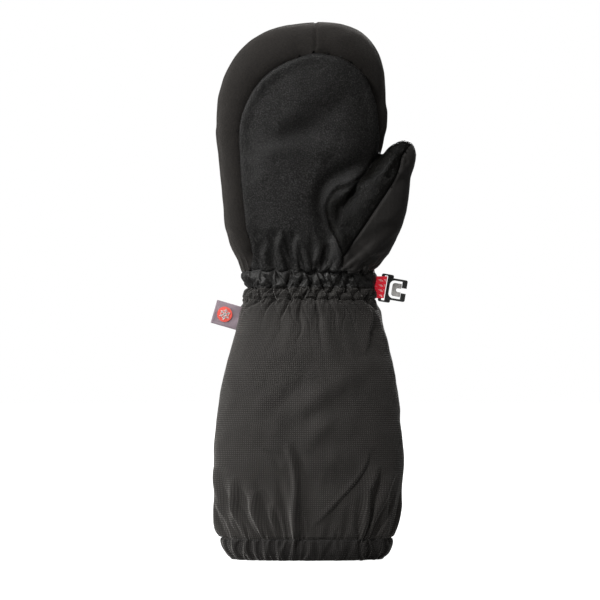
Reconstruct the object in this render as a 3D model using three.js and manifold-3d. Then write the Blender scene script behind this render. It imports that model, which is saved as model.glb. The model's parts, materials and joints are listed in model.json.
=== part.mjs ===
// A child's long-gauntlet ski mitten for the right hand: a padded hand with a leather palm, a thumb, an elastic
// wrist, a gauntlet with an elastic hem, a webbing tab with its snap clip, and a woven label.
// Millimetres. It stands on its hem: +Z runs from the hem to the fingertips, the palm faces -Y, and the thumb
// is on the +X side. The origin is the centre of the footprint of the whole mitten, at the level of the hem.
import * as THREE from "three";
import { mergeVertices } from "three/addons/utils/BufferGeometryUtils.js";
import Module from "manifold-3d";

const wasm = await Module();
wasm.setup();

// ---------------------------------------------------------------- driving dimensions

const TIP_Z = 343.4; // hem to fingertips
const HEM_HEIGHT = 14.2; // turned-up hem with its elastic
const WRIST = { low: 166, seam: 174.4, high: 184.6 }; // the gathered wrist, and the seam across it
const DOME_Z = 276; // the hand starts to narrow towards the fingertips here
const THICK_DOME_Z = 303; // and gets thinner from here
const TOP_X = 3.7; // the fingertips' highest point
const HAND_Y = 1.5; // middle of the hand's thickness
const HAND_HALF = 26; // half of the hand's thickness

// Over the fingertips each side is a quarter of a superellipse, `reach` wide from TOP_X.
const TIP_LEFT = { from: DOME_Z, reach: 64.7, power: 2.45 };
const TIP_RIGHT = { from: 290, reach: 43.5, power: 2.7 };
const SQUARENESS = { hand: 2.35, thumb: 2.15, tip: 2.2, thumbTip: 2 }; // 2 is an ellipse

const GAP = 0.3; // between pieces that touch
const CUT = GAP / 2; // what each of two pieces gives up along a cut
const RING_SIDES = 24; // facets round the hand and gauntlet
const THUMB_SIDES = 14; // facets round the thumb
const FAR = 400; // larger than the mitten

// The mitten's sides as seen from the palm, and half its thickness, as [z, value].
const LEFT_EDGE = [
  [-30, -50], [0, -51.5], [5, -55], [14, -58], [53, -62.8], [96, -60], [140, -51.8],
  [165, -43.5], [175, -41], [185, -44], [203, -54.4], [226, -57.5], [DOME_Z, -61.8],
];
const RIGHT_EDGE = [
  [-30, 43], [0, 45], [5, 48.4], [14, 51.6], [53, 59], [96, 55.6], [140, 48.8],
  [165, 40.4], [175, 39.7], [185, 39.4], [203, 37.6], [245, 41.5], [DOME_Z, 48],
];
const HALF_THICKNESS = [
  [-30, 19], [0, 19.5], [5, 21.2], [14, 22.5], [60, 24.5], [115, 24], [150, 21.8],
  [165, 19.3], [175, 18.6], [185, 19.3], [203, 23.2], [226, 25.4], [DOME_Z, HAND_HALF],
];
const MIDDLE_Y = [[-30, 0], [150, 0], [200, HAND_Y], [DOME_Z, HAND_Y]];

// The thumb grows out of the hand along its own axis: stations are [distance along the axis, value].
const THUMB_ROOT = new THREE.Vector3(18, 0, 188);
const THUMB_TIP = new THREE.Vector3(62, 0, 267.3);
const THUMB_DOME = 72; // the thumb rounds off from here
const THUMB_LEFT = [[-12, 14], [0, 17], [22, 18.3], [35, 17.3], [51, 15.5], [THUMB_DOME, 12.5]];
const THUMB_RIGHT = [[-12, 14], [0, 19], [8, 22], [22, 24.4], [35, 23.8], [51, 20], [THUMB_DOME, 11.3]];
const THUMB_HALF = [[-12, 14], [0, 15.5], [35, 16], [51, 15], [THUMB_DOME, 12]];
const THUMB_Y = [[-12, -6], [20, -10], [50, -12], [92, -10.5]];

// Depth of each layer's outer and inner face under the outside of the mitten.
const LAYERS = {
  shell: { hand: [0, 1.6], thumb: [0, 1.4] },
  insulation: { hand: [1.9, 6.5], thumb: [1.7, 3.9] },
  membrane: { hand: [6.8, 7.4], thumb: [4.2, 4.7] },
  lining: { hand: [7.7, 9.2], thumb: [5, 6] },
};
const GAUNTLET_LAYERS = { shell: [0, 1.6], lining: [1.9, 3.1] };
const WRIST_LAYERS = { ruche: [0, 3], elastic: [3.3, 4.5], lining: [4.8, 6] };
const HEM = { outer: 1.2, channel: 3.6, inner: 4.8, floor: 1.4, elastic: [1.6, 3.2], elasticZ: [2, 13] };
const SIDE_SEAM_Y = 2; // where the back of the hand meets the side strips
const TOP_SEAM_X = 2.4; // where the two side strips meet over the fingertips
const THUMB_SEAM_Y = -8; // how far round the thumb its leather reaches

// The thumb swings on a line from the crotch of the thumb to the base of the palm.
const THUMB_HINGE = { from: new THREE.Vector3(21, -14, 190.4), to: new THREE.Vector3(44.6, -14, 259.5) };
const THUMB_SWING = 25; // degrees towards the palm
const HINGE_GAP = 0.4; // on each side of the plane that parts the thumb from the hand

// The red webbing tab at the wrist's thumb side, and the snap clip that swivels in its loop.
const WEBBING = { width: 14, thick: 1, z: 174, base: 40.2, baseHalf: 1.15 };
const CLIP_BAR = new THREE.Vector3(44.4, 0, 173.9); // middle of the bar in the webbing's loop
const CLIP_TILT = THREE.MathUtils.degToRad(9.5); // the clip hangs this far from upright
const CLIP = {
  bar: 1, slot: 3.1, loopEnd: 6.8, end: 16, block: 12.9, // across, from the bar's middle
  loopHalf: 9, slotHalf: 8, armHalf: 7, openHalf: 5.7, mouth: 1.65, // up and down
  thick: 3.8, loopThick: 2.2, corner: 1.1,
};
const TONGUE = { from: 6.8, half: 4.2, notch: 9.4, notchHalf: 1.1, thick: 1.4, corner: 1.6 };

// The woven label in the little finger's side seam, with a round print on its front.
const LABEL = { rootTop: [-44.5, 161.2], rootBottom: [-48.7, 146.7], reach: 15.6, thick: 1, set: 1.3 };
const PRINT = { radius: 4.9, thick: 0.25, out: 8.4 };

// ---------------------------------------------------------------- solids from three.js geometry

// A closed three.js mesh as a manifold-3d solid.
function solidOf(geometry) {
  const bare = geometry.index ? geometry.toNonIndexed() : geometry.clone();
  for (const name of Object.keys(bare.attributes)) {
    if (name !== "position") bare.deleteAttribute(name);
  }
  const merged = mergeVertices(bare, 1e-4);
  const triVerts = new Uint32Array(merged.index.array);
  return new wasm.Manifold(
    new wasm.Mesh({ numProp: 3, vertProperties: merged.attributes.position.array, triVerts }),
  );
}

// A manifold-3d solid as a three.js geometry.
function geometryOf(solid) {
  const { vertProperties, triVerts } = solid.getMesh();
  const geometry = new THREE.BufferGeometry();
  geometry.setAttribute("position", new THREE.BufferAttribute(vertProperties, 3));
  geometry.setIndex(new THREE.BufferAttribute(triVerts, 1));
  geometry.computeVertexNormals();
  return geometry;
}

// The value at `at` of a smooth curve through [place, value] stations.
function along(stations, at) {
  const last = stations.length - 1;
  let i = 0;
  while (i < last - 1 && at > stations[i + 1][0]) i += 1;
  const slope = (k) => {
    const a = stations[Math.max(k - 1, 0)];
    const b = stations[Math.min(k + 1, last)];
    return (b[1] - a[1]) / (b[0] - a[0]);
  };
  const [x0, y0] = stations[i];
  const [x1, y1] = stations[i + 1];
  const step = x1 - x0;
  const t = THREE.MathUtils.clamp((at - x0) / step, 0, 1);
  const enter = slope(i) * step * t * (1 - t) ** 2;
  const leave = slope(i + 1) * step * t * t * (t - 1);
  return y0 + (y1 - y0) * t * t * (3 - 2 * t) + enter + leave;
}

// A quarter of a superellipse: 1 at start, 0 at end.
function dome(at, start, end, power) {
  const t = THREE.MathUtils.clamp((at - start) / (end - start), 0, 1);
  return (1 - t ** power) ** (1 / power);
}

// A point round an oval whose four half-widths differ; `power` above 2 squares it off.
function oval(angle, halves, power) {
  const c = Math.cos(angle);
  const s = Math.sin(angle);
  const x = (c > 0 ? halves.right : halves.left) * Math.sign(c) * Math.abs(c) ** (2 / power);
  const y = (s > 0 ? halves.back : halves.front) * Math.sign(s) * Math.abs(s) ** (2 / power);
  return [x, y];
}

// A closed solid through rings that run counter-clockwise seen from the last ring's side.
function loft(rings, apex) {
  const sides = rings[0].length;
  const start = new THREE.Vector3();
  rings[0].forEach((p) => start.addScaledVector(p, 1 / sides));
  const points = [...rings.flat(), start, apex];
  const index = [];
  for (let j = 0; j < sides; j += 1) {
    const next = (j + 1) % sides;
    for (let i = 1; i < rings.length; i += 1) {
      const [a, b] = [(i - 1) * sides + j, (i - 1) * sides + next];
      index.push(a, b, b + sides, a, b + sides, a + sides);
    }
    const top = (rings.length - 1) * sides;
    index.push(points.length - 2, next, j, points.length - 1, top + j, top + next);
  }
  const geometry = new THREE.BufferGeometry().setFromPoints(points);
  geometry.setIndex(index);
  return solidOf(geometry);
}

// Rings of a surface, each point moved `depth` into it. `place(level, angle)` gives the surface.
function sunkenRings(place, levels, sides, depth) {
  const EPS = 1e-3;
  return levels.map((level) =>
    Array.from({ length: sides }, (_, j) => {
      const angle = (2 * Math.PI * j) / sides;
      const around = place(level, angle + EPS).sub(place(level, angle - EPS));
      const onward = place(level + EPS, angle).sub(place(level - EPS, angle));
      const inward = onward.cross(around).normalize();
      return place(level, angle).addScaledVector(inward, depth);
    }),
  );
}

// ---------------------------------------------------------------- the mitten's outside

// A level up to 1 runs straight from below the hem to DOME_Z; from 1 to 2 it follows the fingertips' dome.
const BODY_START = -20;
function bodyHeight(level) {
  if (level <= 1) return BODY_START + (DOME_Z - BODY_START) * level;
  return DOME_Z + (TIP_Z - DOME_Z) * Math.sin(((level - 1) * Math.PI) / 2);
}
const levelAt = (z) => (z - BODY_START) / (DOME_Z - BODY_START);

function bodyPoint(level, angle) {
  const z = bodyHeight(level);
  const overTip = (side) => side.reach * dome(z, side.from, TIP_Z, side.power);
  const left = z < TIP_LEFT.from ? along(LEFT_EDGE, z) : TOP_X - overTip(TIP_LEFT);
  const right = z < TIP_RIGHT.from ? along(RIGHT_EDGE, z) : TOP_X + overTip(TIP_RIGHT);
  const domed = HAND_HALF * dome(z, THICK_DOME_Z, TIP_Z, SQUARENESS.tip);
  const half = z < DOME_Z ? along(HALF_THICKNESS, z) : domed;
  const middle = z < DOME_Z ? (left + right) / 2 : TOP_X + (DOME_SHIFT * (TIP_Z - z)) / (TIP_Z - DOME_Z);
  const halves = { left: middle - left, right: right - middle, front: half, back: half };
  const [x, y] = oval(angle, halves, SQUARENESS.hand);
  return new THREE.Vector3(middle + x, along(MIDDLE_Y, z) + y, z);
}
// The middle of the hand at DOME_Z, measured from TOP_X, so that the ovals' centres run on smoothly.
const DOME_SHIFT = (TIP_RIGHT.reach - TIP_LEFT.reach) / 2;

const BODY_LEVELS = [
  ...[-20, 0, 5, 14, 53, 96, 140, 165, 175, 185, 203, 235].map(levelAt),
  ...[1, 1.3, 1.52, 1.7, 1.87],
];

function bodyAt(depth) {
  const rings = sunkenRings(bodyPoint, BODY_LEVELS, RING_SIDES, depth);
  return loft(rings, new THREE.Vector3(TOP_X, HAND_Y, TIP_Z - depth));
}

// ---------------------------------------------------------------- the thumb's outside

const THUMB_LENGTH = THUMB_TIP.distanceTo(THUMB_ROOT);
const THUMB_AXIS = THUMB_TIP.clone().sub(THUMB_ROOT).normalize();
const THUMB_ACROSS = new THREE.Vector3(0, 1, 0).cross(THUMB_AXIS); // to the right, away from the palm
const THUMB_START = -12;

function thumbDistance(level) {
  if (level <= 1) return THUMB_START + (THUMB_DOME - THUMB_START) * level;
  return THUMB_DOME + (THUMB_LENGTH - THUMB_DOME) * Math.sin(((level - 1) * Math.PI) / 2);
}

function thumbPoint(level, angle) {
  const s = thumbDistance(level);
  const shrink = dome(s, THUMB_DOME, THUMB_LENGTH, SQUARENESS.thumbTip);
  const halves = {
    left: along(THUMB_LEFT, s) * shrink,
    right: along(THUMB_RIGHT, s) * shrink,
    front: along(THUMB_HALF, s) * shrink,
    back: along(THUMB_HALF, s) * shrink,
  };
  const [across, y] = oval(angle, halves, SQUARENESS.thumb);
  const point = THUMB_ROOT.clone().addScaledVector(THUMB_AXIS, s).addScaledVector(THUMB_ACROSS, across);
  return point.setY(along(THUMB_Y, s) + y);
}

const THUMB_LEVELS = [0, 0.25, 0.5, 0.75, 1, 1.35, 1.7];

function thumbAt(depth) {
  const rings = sunkenRings(thumbPoint, THUMB_LEVELS, THUMB_SIDES, depth);
  const apex = THUMB_TIP.clone().addScaledVector(THUMB_AXIS, -depth);
  return loft(rings, apex.setY(along(THUMB_Y, THUMB_LENGTH)));
}

// Hand and thumb together, for the two depths of a layer.
const layerSolid = ({ hand, thumb }) => {
  const outside = bodyAt(hand[0]).add(thumbAt(thumb[0]));
  return outside.subtract(bodyAt(hand[1]).add(thumbAt(thumb[1])));
};
const ringSolid = ([outer, inner]) => bodyAt(outer).subtract(bodyAt(inner));

// ---------------------------------------------------------------- cutters

const block = (low, high) => {
  const size = high.map((v, i) => v - low[i]);
  const centre = high.map((v, i) => (v + low[i]) / 2);
  return solidOf(new THREE.BoxGeometry(...size).translate(...centre));
};
const slab = (low, high) => block([-FAR, -FAR, low], [FAR, FAR, high]);
const inFrontOf = (y) => block([-FAR, -FAR, -FAR], [FAR, y, FAR]);
const behind = (y) => block([-FAR, y, -FAR], [FAR, FAR, FAR]);
const leftOf = (x) => block([-FAR, -FAR, -FAR], [x, FAR, FAR]);
const rightOf = (x) => block([x, -FAR, -FAR], [FAR, FAR, FAR]);

// An outline drawn in X and Z, pushed through the whole thickness of the mitten.
function through(outline) {
  const prism = new THREE.ExtrudeGeometry(new THREE.Shape(outline), { depth: FAR, bevelEnabled: false });
  return solidOf(prism.translate(0, 0, -FAR / 2).rotateX(Math.PI / 2));
}

// A closed outline through control points that run clockwise, grown by `grow`, as points in X and Z.
function outlineThrough(controls, grow) {
  const curve = new THREE.CatmullRomCurve3(
    controls.map(([x, z]) => new THREE.Vector3(x, z, 0)), true, "centripetal",
  );
  const count = controls.length * 3;
  return Array.from({ length: count }, (_, i) => {
    const p = curve.getPoint(i / count);
    const t = curve.getTangent(i / count);
    return new THREE.Vector2(p.x - t.y * grow, p.y + t.x * grow);
  });
}

// The half-space beyond the thumb's hinge plane, turned by `degrees` about the hinge and set off by `gap`.
const HINGE_AXIS = THUMB_HINGE.to.clone().sub(THUMB_HINGE.from).normalize();
const HINGE_NORMAL = new THREE.Vector3(0, 1, 0).cross(HINGE_AXIS); // towards the thumb
function beyondHinge(gap, degrees = 0) {
  const normal = HINGE_NORMAL.clone().applyAxisAngle(HINGE_AXIS, THREE.MathUtils.degToRad(degrees));
  const side = HINGE_AXIS.clone().cross(normal);
  const basis = new THREE.Matrix4().makeBasis(normal, side, HINGE_AXIS);
  basis.setPosition(THUMB_HINGE.from.clone().addScaledVector(normal, gap));
  const half = new THREE.BoxGeometry(FAR, 2 * FAR, 2 * FAR).translate(FAR / 2, 0, 0);
  return solidOf(half.applyMatrix4(basis));
}

const MITTEN_HAND = slab(WRIST.high + CUT, FAR);
const BEYOND = MITTEN_HAND.intersect(beyondHinge(HINGE_GAP));
const THUMB_SIDE = BEYOND.intersect(beyondHinge(HINGE_GAP, THUMB_SWING));
const HAND_SIDE = MITTEN_HAND.subtract(beyondHinge(-HINGE_GAP));
const GUSSET = BEYOND.subtract(beyondHinge(-GAP, THUMB_SWING));

// ---------------------------------------------------------------- seam outlines

const PALM_OUTLINE = [
  [-39, 175], [-43.5, 203], [-47, 240], [-46.5, 268], [-42, 288], [-32.5, 305], [-14, 319.5], [6, 323],
  [26, 317], [35.5, 305], [41.5, 288], [44, 268], [64, 240], [64, 175], [10, 165],
];
const THUMB_LEATHER_OUTLINE = [
  [0, 250], [50, 280], [64, 266.5], [57, 250], [53.5, 240], [46, 230], [34, 213], [20, 191.5], [10, 178],
];

// ---------------------------------------------------------------- pieces

const mitten = new THREE.Group();
mitten.name = "ski_mitten";

const FABRICS = {
  palm_leather: new THREE.MeshStandardMaterial({ color: 0x272725, roughness: 0.55 }),
  softshell: new THREE.MeshStandardMaterial({ color: 0x302d2c, roughness: 0.9 }),
  gauntlet_weave: new THREE.MeshStandardMaterial({ color: 0x383634, roughness: 0.85 }),
  insulation: new THREE.MeshStandardMaterial({ color: 0xe8e6e0, roughness: 1 }),
  membrane: new THREE.MeshStandardMaterial({ color: 0xd5dadd, roughness: 0.6 }),
  fleece: new THREE.MeshStandardMaterial({ color: 0x2b2b2d, roughness: 1 }),
  taffeta: new THREE.MeshStandardMaterial({ color: 0x232325, roughness: 0.7 }),
  elastic: new THREE.MeshStandardMaterial({ color: 0x1c1c1c, roughness: 0.9 }),
  red_webbing: new THREE.MeshStandardMaterial({ color: 0xc3141c, roughness: 0.8 }),
  clip_plastic: new THREE.MeshStandardMaterial({ color: 0x2e3231, roughness: 0.35 }),
  tongue_plastic: new THREE.MeshStandardMaterial({ color: 0xa5a4a1, roughness: 0.4 }),
  label_ribbon: new THREE.MeshStandardMaterial({ color: 0x857a82, roughness: 0.85 }),
  label_print: new THREE.MeshStandardMaterial({ color: 0xe0443a, roughness: 0.8 }),
};

function add(name, fabric, geometry) {
  const mesh = new THREE.Mesh(geometry, FABRICS[fabric]);
  mesh.name = name;
  mitten.add(mesh);
  return mesh;
}
const addSolid = (name, fabric, solid) => add(name, fabric, geometryOf(solid));

function addGauntlet() {
  const zone = slab(HEM_HEIGHT + CUT, WRIST.low - CUT);
  const shell = ringSolid(GAUNTLET_LAYERS.shell).intersect(zone);
  addSolid("gauntlet_front_panel", "gauntlet_weave", shell.intersect(inFrontOf(-CUT)));
  addSolid("gauntlet_back_panel", "gauntlet_weave", shell.intersect(behind(CUT)));
  addSolid("gauntlet_lining", "taffeta", ringSolid(GAUNTLET_LAYERS.lining).intersect(zone));
}

// The hem is a channel open at the top, with the elastic lying in it.
function addHem() {
  const whole = ringSolid([0, HEM.inner]).intersect(slab(0, HEM_HEIGHT - CUT));
  const channel = ringSolid([HEM.outer, HEM.channel]).intersect(slab(HEM.floor, FAR));
  addSolid("hem_casing", "gauntlet_weave", whole.subtract(channel));
  addSolid("hem_elastic", "elastic", ringSolid(HEM.elastic).intersect(slab(...HEM.elasticZ)));
}

function addWrist() {
  const ruche = ringSolid(WRIST_LAYERS.ruche);
  addSolid("wrist_ruche_lower", "gauntlet_weave", ruche.intersect(slab(WRIST.low + CUT, WRIST.seam - CUT)));
  addSolid("wrist_ruche_upper", "palm_leather", ruche.intersect(slab(WRIST.seam + CUT, WRIST.high - CUT)));
  const zone = slab(WRIST.low + 1, WRIST.high - 1);
  addSolid("wrist_elastic", "elastic", ringSolid(WRIST_LAYERS.elastic).intersect(zone));
  addSolid("wrist_lining", "taffeta", ringSolid(WRIST_LAYERS.lining).intersect(zone));
}

// The hand's shell is four panels: the leather palm, two strips over the side of the fingers, and the back.
function addHandShell(shell) {
  const front = shell.intersect(inFrontOf(SIDE_SEAM_Y - CUT));
  const strips = front.subtract(through(outlineThrough(PALM_OUTLINE, CUT)));
  addSolid("palm_leather_panel", "palm_leather", front.intersect(through(outlineThrough(PALM_OUTLINE, -CUT))));
  addSolid("finger_strip_outer", "softshell", strips.intersect(leftOf(TOP_SEAM_X - CUT)));
  addSolid("finger_strip_inner", "softshell", strips.intersect(rightOf(TOP_SEAM_X + CUT)));
  addSolid("back_of_hand_panel", "softshell", shell.intersect(behind(SIDE_SEAM_Y + CUT)));
}

function addThumbShell(shell) {
  const leather = (grow) =>
    through(outlineThrough(THUMB_LEATHER_OUTLINE, grow)).intersect(inFrontOf(THUMB_SEAM_Y + grow));
  addSolid("thumb_leather_panel", "palm_leather", shell.intersect(leather(-CUT)));
  addSolid("thumb_back_panel", "softshell", shell.subtract(leather(CUT)));
}

function addHandAndThumb() {
  const shell = layerSolid(LAYERS.shell);
  addHandShell(shell.intersect(HAND_SIDE));
  addThumbShell(shell.intersect(THUMB_SIDE));
  const insulation = layerSolid(LAYERS.insulation);
  const handPadding = insulation.intersect(HAND_SIDE);
  addSolid("palm_insulation", "insulation", handPadding.intersect(inFrontOf(SIDE_SEAM_Y - CUT)));
  addSolid("back_insulation", "insulation", handPadding.intersect(behind(SIDE_SEAM_Y + CUT)));
  addSolid("thumb_insulation", "insulation", insulation.intersect(THUMB_SIDE));
  const membrane = layerSolid(LAYERS.membrane);
  addSolid("hand_membrane", "membrane", membrane.intersect(HAND_SIDE));
  addSolid("thumb_membrane", "membrane", membrane.intersect(THUMB_SIDE));
  const lining = layerSolid(LAYERS.lining);
  addSolid("hand_lining", "fleece", lining.intersect(HAND_SIDE));
  addSolid("thumb_lining", "fleece", lining.intersect(THUMB_SIDE));
  const wall = layerSolid({ hand: [0, LAYERS.lining.hand[1]], thumb: [0, LAYERS.lining.thumb[1]] });
  addSolid("thumb_gusset", "palm_leather", wall.intersect(GUSSET));
}

// A webbing strip folded round the clip's bar: two layers at the seam, opening into a round loop.
function addWebbingTab() {
  const { width, thick, z, base, baseHalf } = WEBBING;
  const inner = CLIP.bar + 0.7;
  const outer = inner + thick;
  const start = base - CLIP_BAR.x;
  const outline = new THREE.Shape();
  outline.moveTo(start, baseHalf);
  outline.lineTo(start, -baseHalf);
  outline.absarc(0, 0, outer, -1.9, 1.9, false);
  outline.closePath();
  outline.holes.push(new THREE.Path().absarc(0, 0, inner, 0, 2 * Math.PI, true));
  const strip = new THREE.ExtrudeGeometry(outline, { depth: width, bevelEnabled: false, curveSegments: 9 });
  strip.translate(0, 0, -width / 2);
  const at = strip.attributes.position;
  for (let i = 0; i < at.count; i += 1) {
    // the loop follows the tilted bar, and the seam end stays upright
    const lean = THREE.MathUtils.smoothstep(at.getX(i), start, -outer) * Math.tan(CLIP_TILT);
    const up = at.getZ(i) + z - CLIP_BAR.z;
    at.setX(i, at.getX(i) + up * lean);
  }
  add("webbing_tab", "red_webbing", strip.translate(CLIP_BAR.x, 0, z));
}

// A rounded rectangle drawn across and up from the bar's middle.
function roundedBox(left, right, half, corner) {
  const shape = new THREE.Shape();
  shape.absarc(right - corner, half - corner, corner, 0, Math.PI / 2);
  shape.absarc(left + corner, half - corner, corner, Math.PI / 2, Math.PI);
  shape.absarc(left + corner, corner - half, corner, Math.PI, 1.5 * Math.PI);
  shape.absarc(right - corner, corner - half, corner, 1.5 * Math.PI, 2 * Math.PI);
  return shape;
}

// A flat plate of that outline, standing upright with its front face towards -Y.
function plate(shape, thick) {
  const options = { depth: thick, bevelEnabled: false, curveSegments: 4 };
  return solidOf(new THREE.ExtrudeGeometry(shape, options).translate(0, 0, -thick / 2).rotateX(Math.PI / 2));
}

// The clip's own place: its bar in the loop, tilted clockwise as seen from the palm.
function hangOnBar(geometry) {
  return geometry.rotateY(CLIP_TILT).translate(...CLIP_BAR);
}

function addClip() {
  const c = CLIP;
  const loop = plate(roundedBox(-c.bar, c.loopEnd, c.loopHalf, c.corner), c.loopThick);
  const arms = plate(roundedBox(c.slot, c.end, c.armHalf, c.corner), c.thick);
  const slot = plate(roundedBox(c.bar, c.slot, c.slotHalf, 0.4), FAR);
  const opening = plate(roundedBox(c.loopEnd - 1.8, c.block, c.openHalf, 3), FAR);
  const corners = plate(roundedBox(c.block - 3.2, c.block, c.openHalf, 0.4), FAR);
  const mouth = plate(roundedBox(c.block - 1, c.end + 2, c.mouth, 0.3), FAR);
  const frame = loop.add(arms).subtract(slot).subtract(opening).subtract(corners).subtract(mouth);
  add("clip_frame", "clip_plastic", hangOnBar(geometryOf(frame)));
  const t = TONGUE;
  const body = plate(roundedBox(t.from, c.block + 2, t.half, t.corner), t.thick);
  const notch = plate(roundedBox(t.notch, c.end, t.notchHalf, t.notchHalf), FAR);
  const kept = block([-FAR, -FAR, -FAR], [c.block - GAP, FAR, FAR]);
  add("clip_tongue", "tongue_plastic", hangOnBar(geometryOf(body.subtract(notch).intersect(kept))));
}

// The label is a rectangle standing out from its slanting root, and its print a thin disc on it.
function addLabel() {
  const top = new THREE.Vector3(LABEL.rootTop[0], 0, LABEL.rootTop[1]);
  const bottom = new THREE.Vector3(LABEL.rootBottom[0], 0, LABEL.rootBottom[1]);
  const up = top.clone().sub(bottom);
  const width = up.length();
  const turn = Math.atan2(up.x, up.z);
  const middle = top.clone().lerp(bottom, 0.5);
  const place = (geometry) => geometry.rotateY(turn).translate(...middle);
  const ribbon = new THREE.BoxGeometry(LABEL.reach, LABEL.thick, width);
  add("label_ribbon", "label_ribbon", place(ribbon.translate(-LABEL.reach / 2 - LABEL.set, 0, 0)));
  const disc = new THREE.CylinderGeometry(PRINT.radius, PRINT.radius, PRINT.thick, 24);
  const front = -LABEL.thick / 2 - PRINT.thick / 2 - 0.1;
  add("label_print", "label_print", place(disc.translate(-PRINT.out - LABEL.set, front, 0)));
}

addGauntlet();
addHem();
addWrist();
addHandAndThumb();
addWebbingTab();
addClip();
addLabel();

export default mitten;
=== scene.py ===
"""The looks of a child's long-gauntlet ski mitten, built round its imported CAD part.

The outer cloth is made as two surfaces: the sleeve, which is the gauntlet with its hem and the gathered
wrist, and the padded hand with its thumb. Each gets its folds, and is cut along its seams into the pieces
that stand for CAD panels. Lengths in the tables and formulas are millimetres; meshes are made in metres.
"""
import json
import math

import bpy
import numpy as np
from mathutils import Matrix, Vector, noise


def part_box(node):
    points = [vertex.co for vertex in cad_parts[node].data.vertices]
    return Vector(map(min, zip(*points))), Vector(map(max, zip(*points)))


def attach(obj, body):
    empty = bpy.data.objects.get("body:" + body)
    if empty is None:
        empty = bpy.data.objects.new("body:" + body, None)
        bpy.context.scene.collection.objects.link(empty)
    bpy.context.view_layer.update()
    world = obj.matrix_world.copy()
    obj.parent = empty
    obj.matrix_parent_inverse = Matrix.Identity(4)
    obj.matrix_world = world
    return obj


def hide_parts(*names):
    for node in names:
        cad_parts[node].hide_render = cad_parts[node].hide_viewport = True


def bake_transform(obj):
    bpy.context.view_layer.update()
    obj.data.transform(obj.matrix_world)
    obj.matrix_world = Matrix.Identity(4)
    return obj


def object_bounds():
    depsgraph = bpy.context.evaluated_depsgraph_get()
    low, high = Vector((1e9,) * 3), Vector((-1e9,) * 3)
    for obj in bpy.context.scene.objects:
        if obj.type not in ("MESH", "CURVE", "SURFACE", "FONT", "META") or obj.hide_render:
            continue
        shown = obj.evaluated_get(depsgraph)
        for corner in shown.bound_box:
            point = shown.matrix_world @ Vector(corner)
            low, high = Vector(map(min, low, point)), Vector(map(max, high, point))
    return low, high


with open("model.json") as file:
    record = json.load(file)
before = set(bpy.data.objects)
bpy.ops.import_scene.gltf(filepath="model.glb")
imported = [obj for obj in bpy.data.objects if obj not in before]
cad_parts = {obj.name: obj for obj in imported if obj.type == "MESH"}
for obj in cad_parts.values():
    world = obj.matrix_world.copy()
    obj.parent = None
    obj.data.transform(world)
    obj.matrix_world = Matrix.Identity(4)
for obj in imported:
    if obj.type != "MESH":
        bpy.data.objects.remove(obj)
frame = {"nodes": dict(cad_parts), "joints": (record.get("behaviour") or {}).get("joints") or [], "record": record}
CAD_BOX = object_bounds()
MM = 0.001

# ------------------------ heights of the seams, from the frame


def between(lower, upper):
    """Height of the seam between two CAD nodes."""
    return (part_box(lower)[1].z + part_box(upper)[0].z) / 2 / MM


HEM_SEAM = between("hem_casing", "gauntlet_front_panel")
RUCHE_LOW = between("gauntlet_front_panel", "wrist_ruche_lower")
WRIST_SEAM = between("wrist_ruche_lower", "wrist_ruche_upper")
RUCHE_HIGH = between("wrist_ruche_upper", "palm_leather_panel")
TIP_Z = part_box("back_of_hand_panel")[1].z / MM
SIDE_SEAM_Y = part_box("back_of_hand_panel")[0].y / MM
TOP_SEAM_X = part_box("finger_strip_outer")[1].x / MM

# ------------------------ the mitten's outline, as the CAD part has it

DOME_Z = 276  # the hand starts to narrow towards the fingertips here
RIGHT_DOME_Z = 290  # on its right side, here
THICK_DOME_Z = 303  # and it gets thinner from here
TOP_X = 3.7  # the highest point of the fingertips
TIP_LEFT = {"reach": 64.7, "dome": (DOME_Z, TIP_Z, 2.45)}
TIP_RIGHT = {"reach": 43.5, "dome": (RIGHT_DOME_Z, TIP_Z, 2.7)}
TIP_THICKNESS_POWER = 2.2
SQUARENESS = 2.35  # powers of the superellipses that the mitten and its thumb have as cross-sections
THUMB_SQUARENESS = 2.15
HAND_Y = 1.5
HAND_HALF = 26
LEFT_EDGE = [
    (-30, -50), (0, -51.5), (5, -55), (14, -58), (53, -62.8), (96, -60), (140, -51.8),
    (165, -43.5), (175, -41), (185, -44), (203, -53.4), (226, -56.4), (DOME_Z, -61.8),
]
RIGHT_EDGE = [
    (-30, 43), (0, 45), (5, 48.4), (14, 51.6), (53, 59), (96, 55.6), (140, 48.8),
    (165, 40.4), (175, 39.7), (185, 39.4), (203, 37.6), (245, 41.5), (DOME_Z, 48),
]
HALF_THICKNESS = [
    (-30, 19), (0, 19.5), (5, 21.2), (14, 22.5), (60, 24.5), (115, 24), (150, 21.8),
    (165, 19.3), (175, 18.6), (185, 19.3), (203, 23.2), (226, 25.4), (DOME_Z, HAND_HALF),
]
MIDDLE_Y = [(-30, 0), (150, 0), (200, HAND_Y), (DOME_Z, HAND_Y)]

THUMB_ROOT = np.array([18, 0, 188.0])
THUMB_TIP = np.array([62, 0, 267.3])
THUMB_DOME = 72
THUMB_LEFT = [(-12, 14), (0, 17), (22, 18.3), (35, 17.3), (51, 14.9), (62, 12.5), (THUMB_DOME, 11)]
THUMB_RIGHT = [(-12, 14), (0, 19), (8, 22), (22, 24.4), (35, 23.8), (51, 20), (THUMB_DOME, 11.3)]
THUMB_HALF = [(-12, 12), (0, 14), (16, 15.5), (35, 16), (51, 15), (THUMB_DOME, 12)]
THUMB_Y = [(-12, -6), (20, -10), (50, -12), (92, -10.5)]
THUMB_FOLD = next(j for j in frame["joints"] if j["name"] == "thumb_fold")
HINGE_AT = np.array(THUMB_FOLD["pos_m"]) / MM
HINGE_UP = -np.array(THUMB_FOLD["axis"])
HINGE_OUT = np.cross([0, 1, 0], HINGE_UP)  # from the hand towards the thumb

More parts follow.
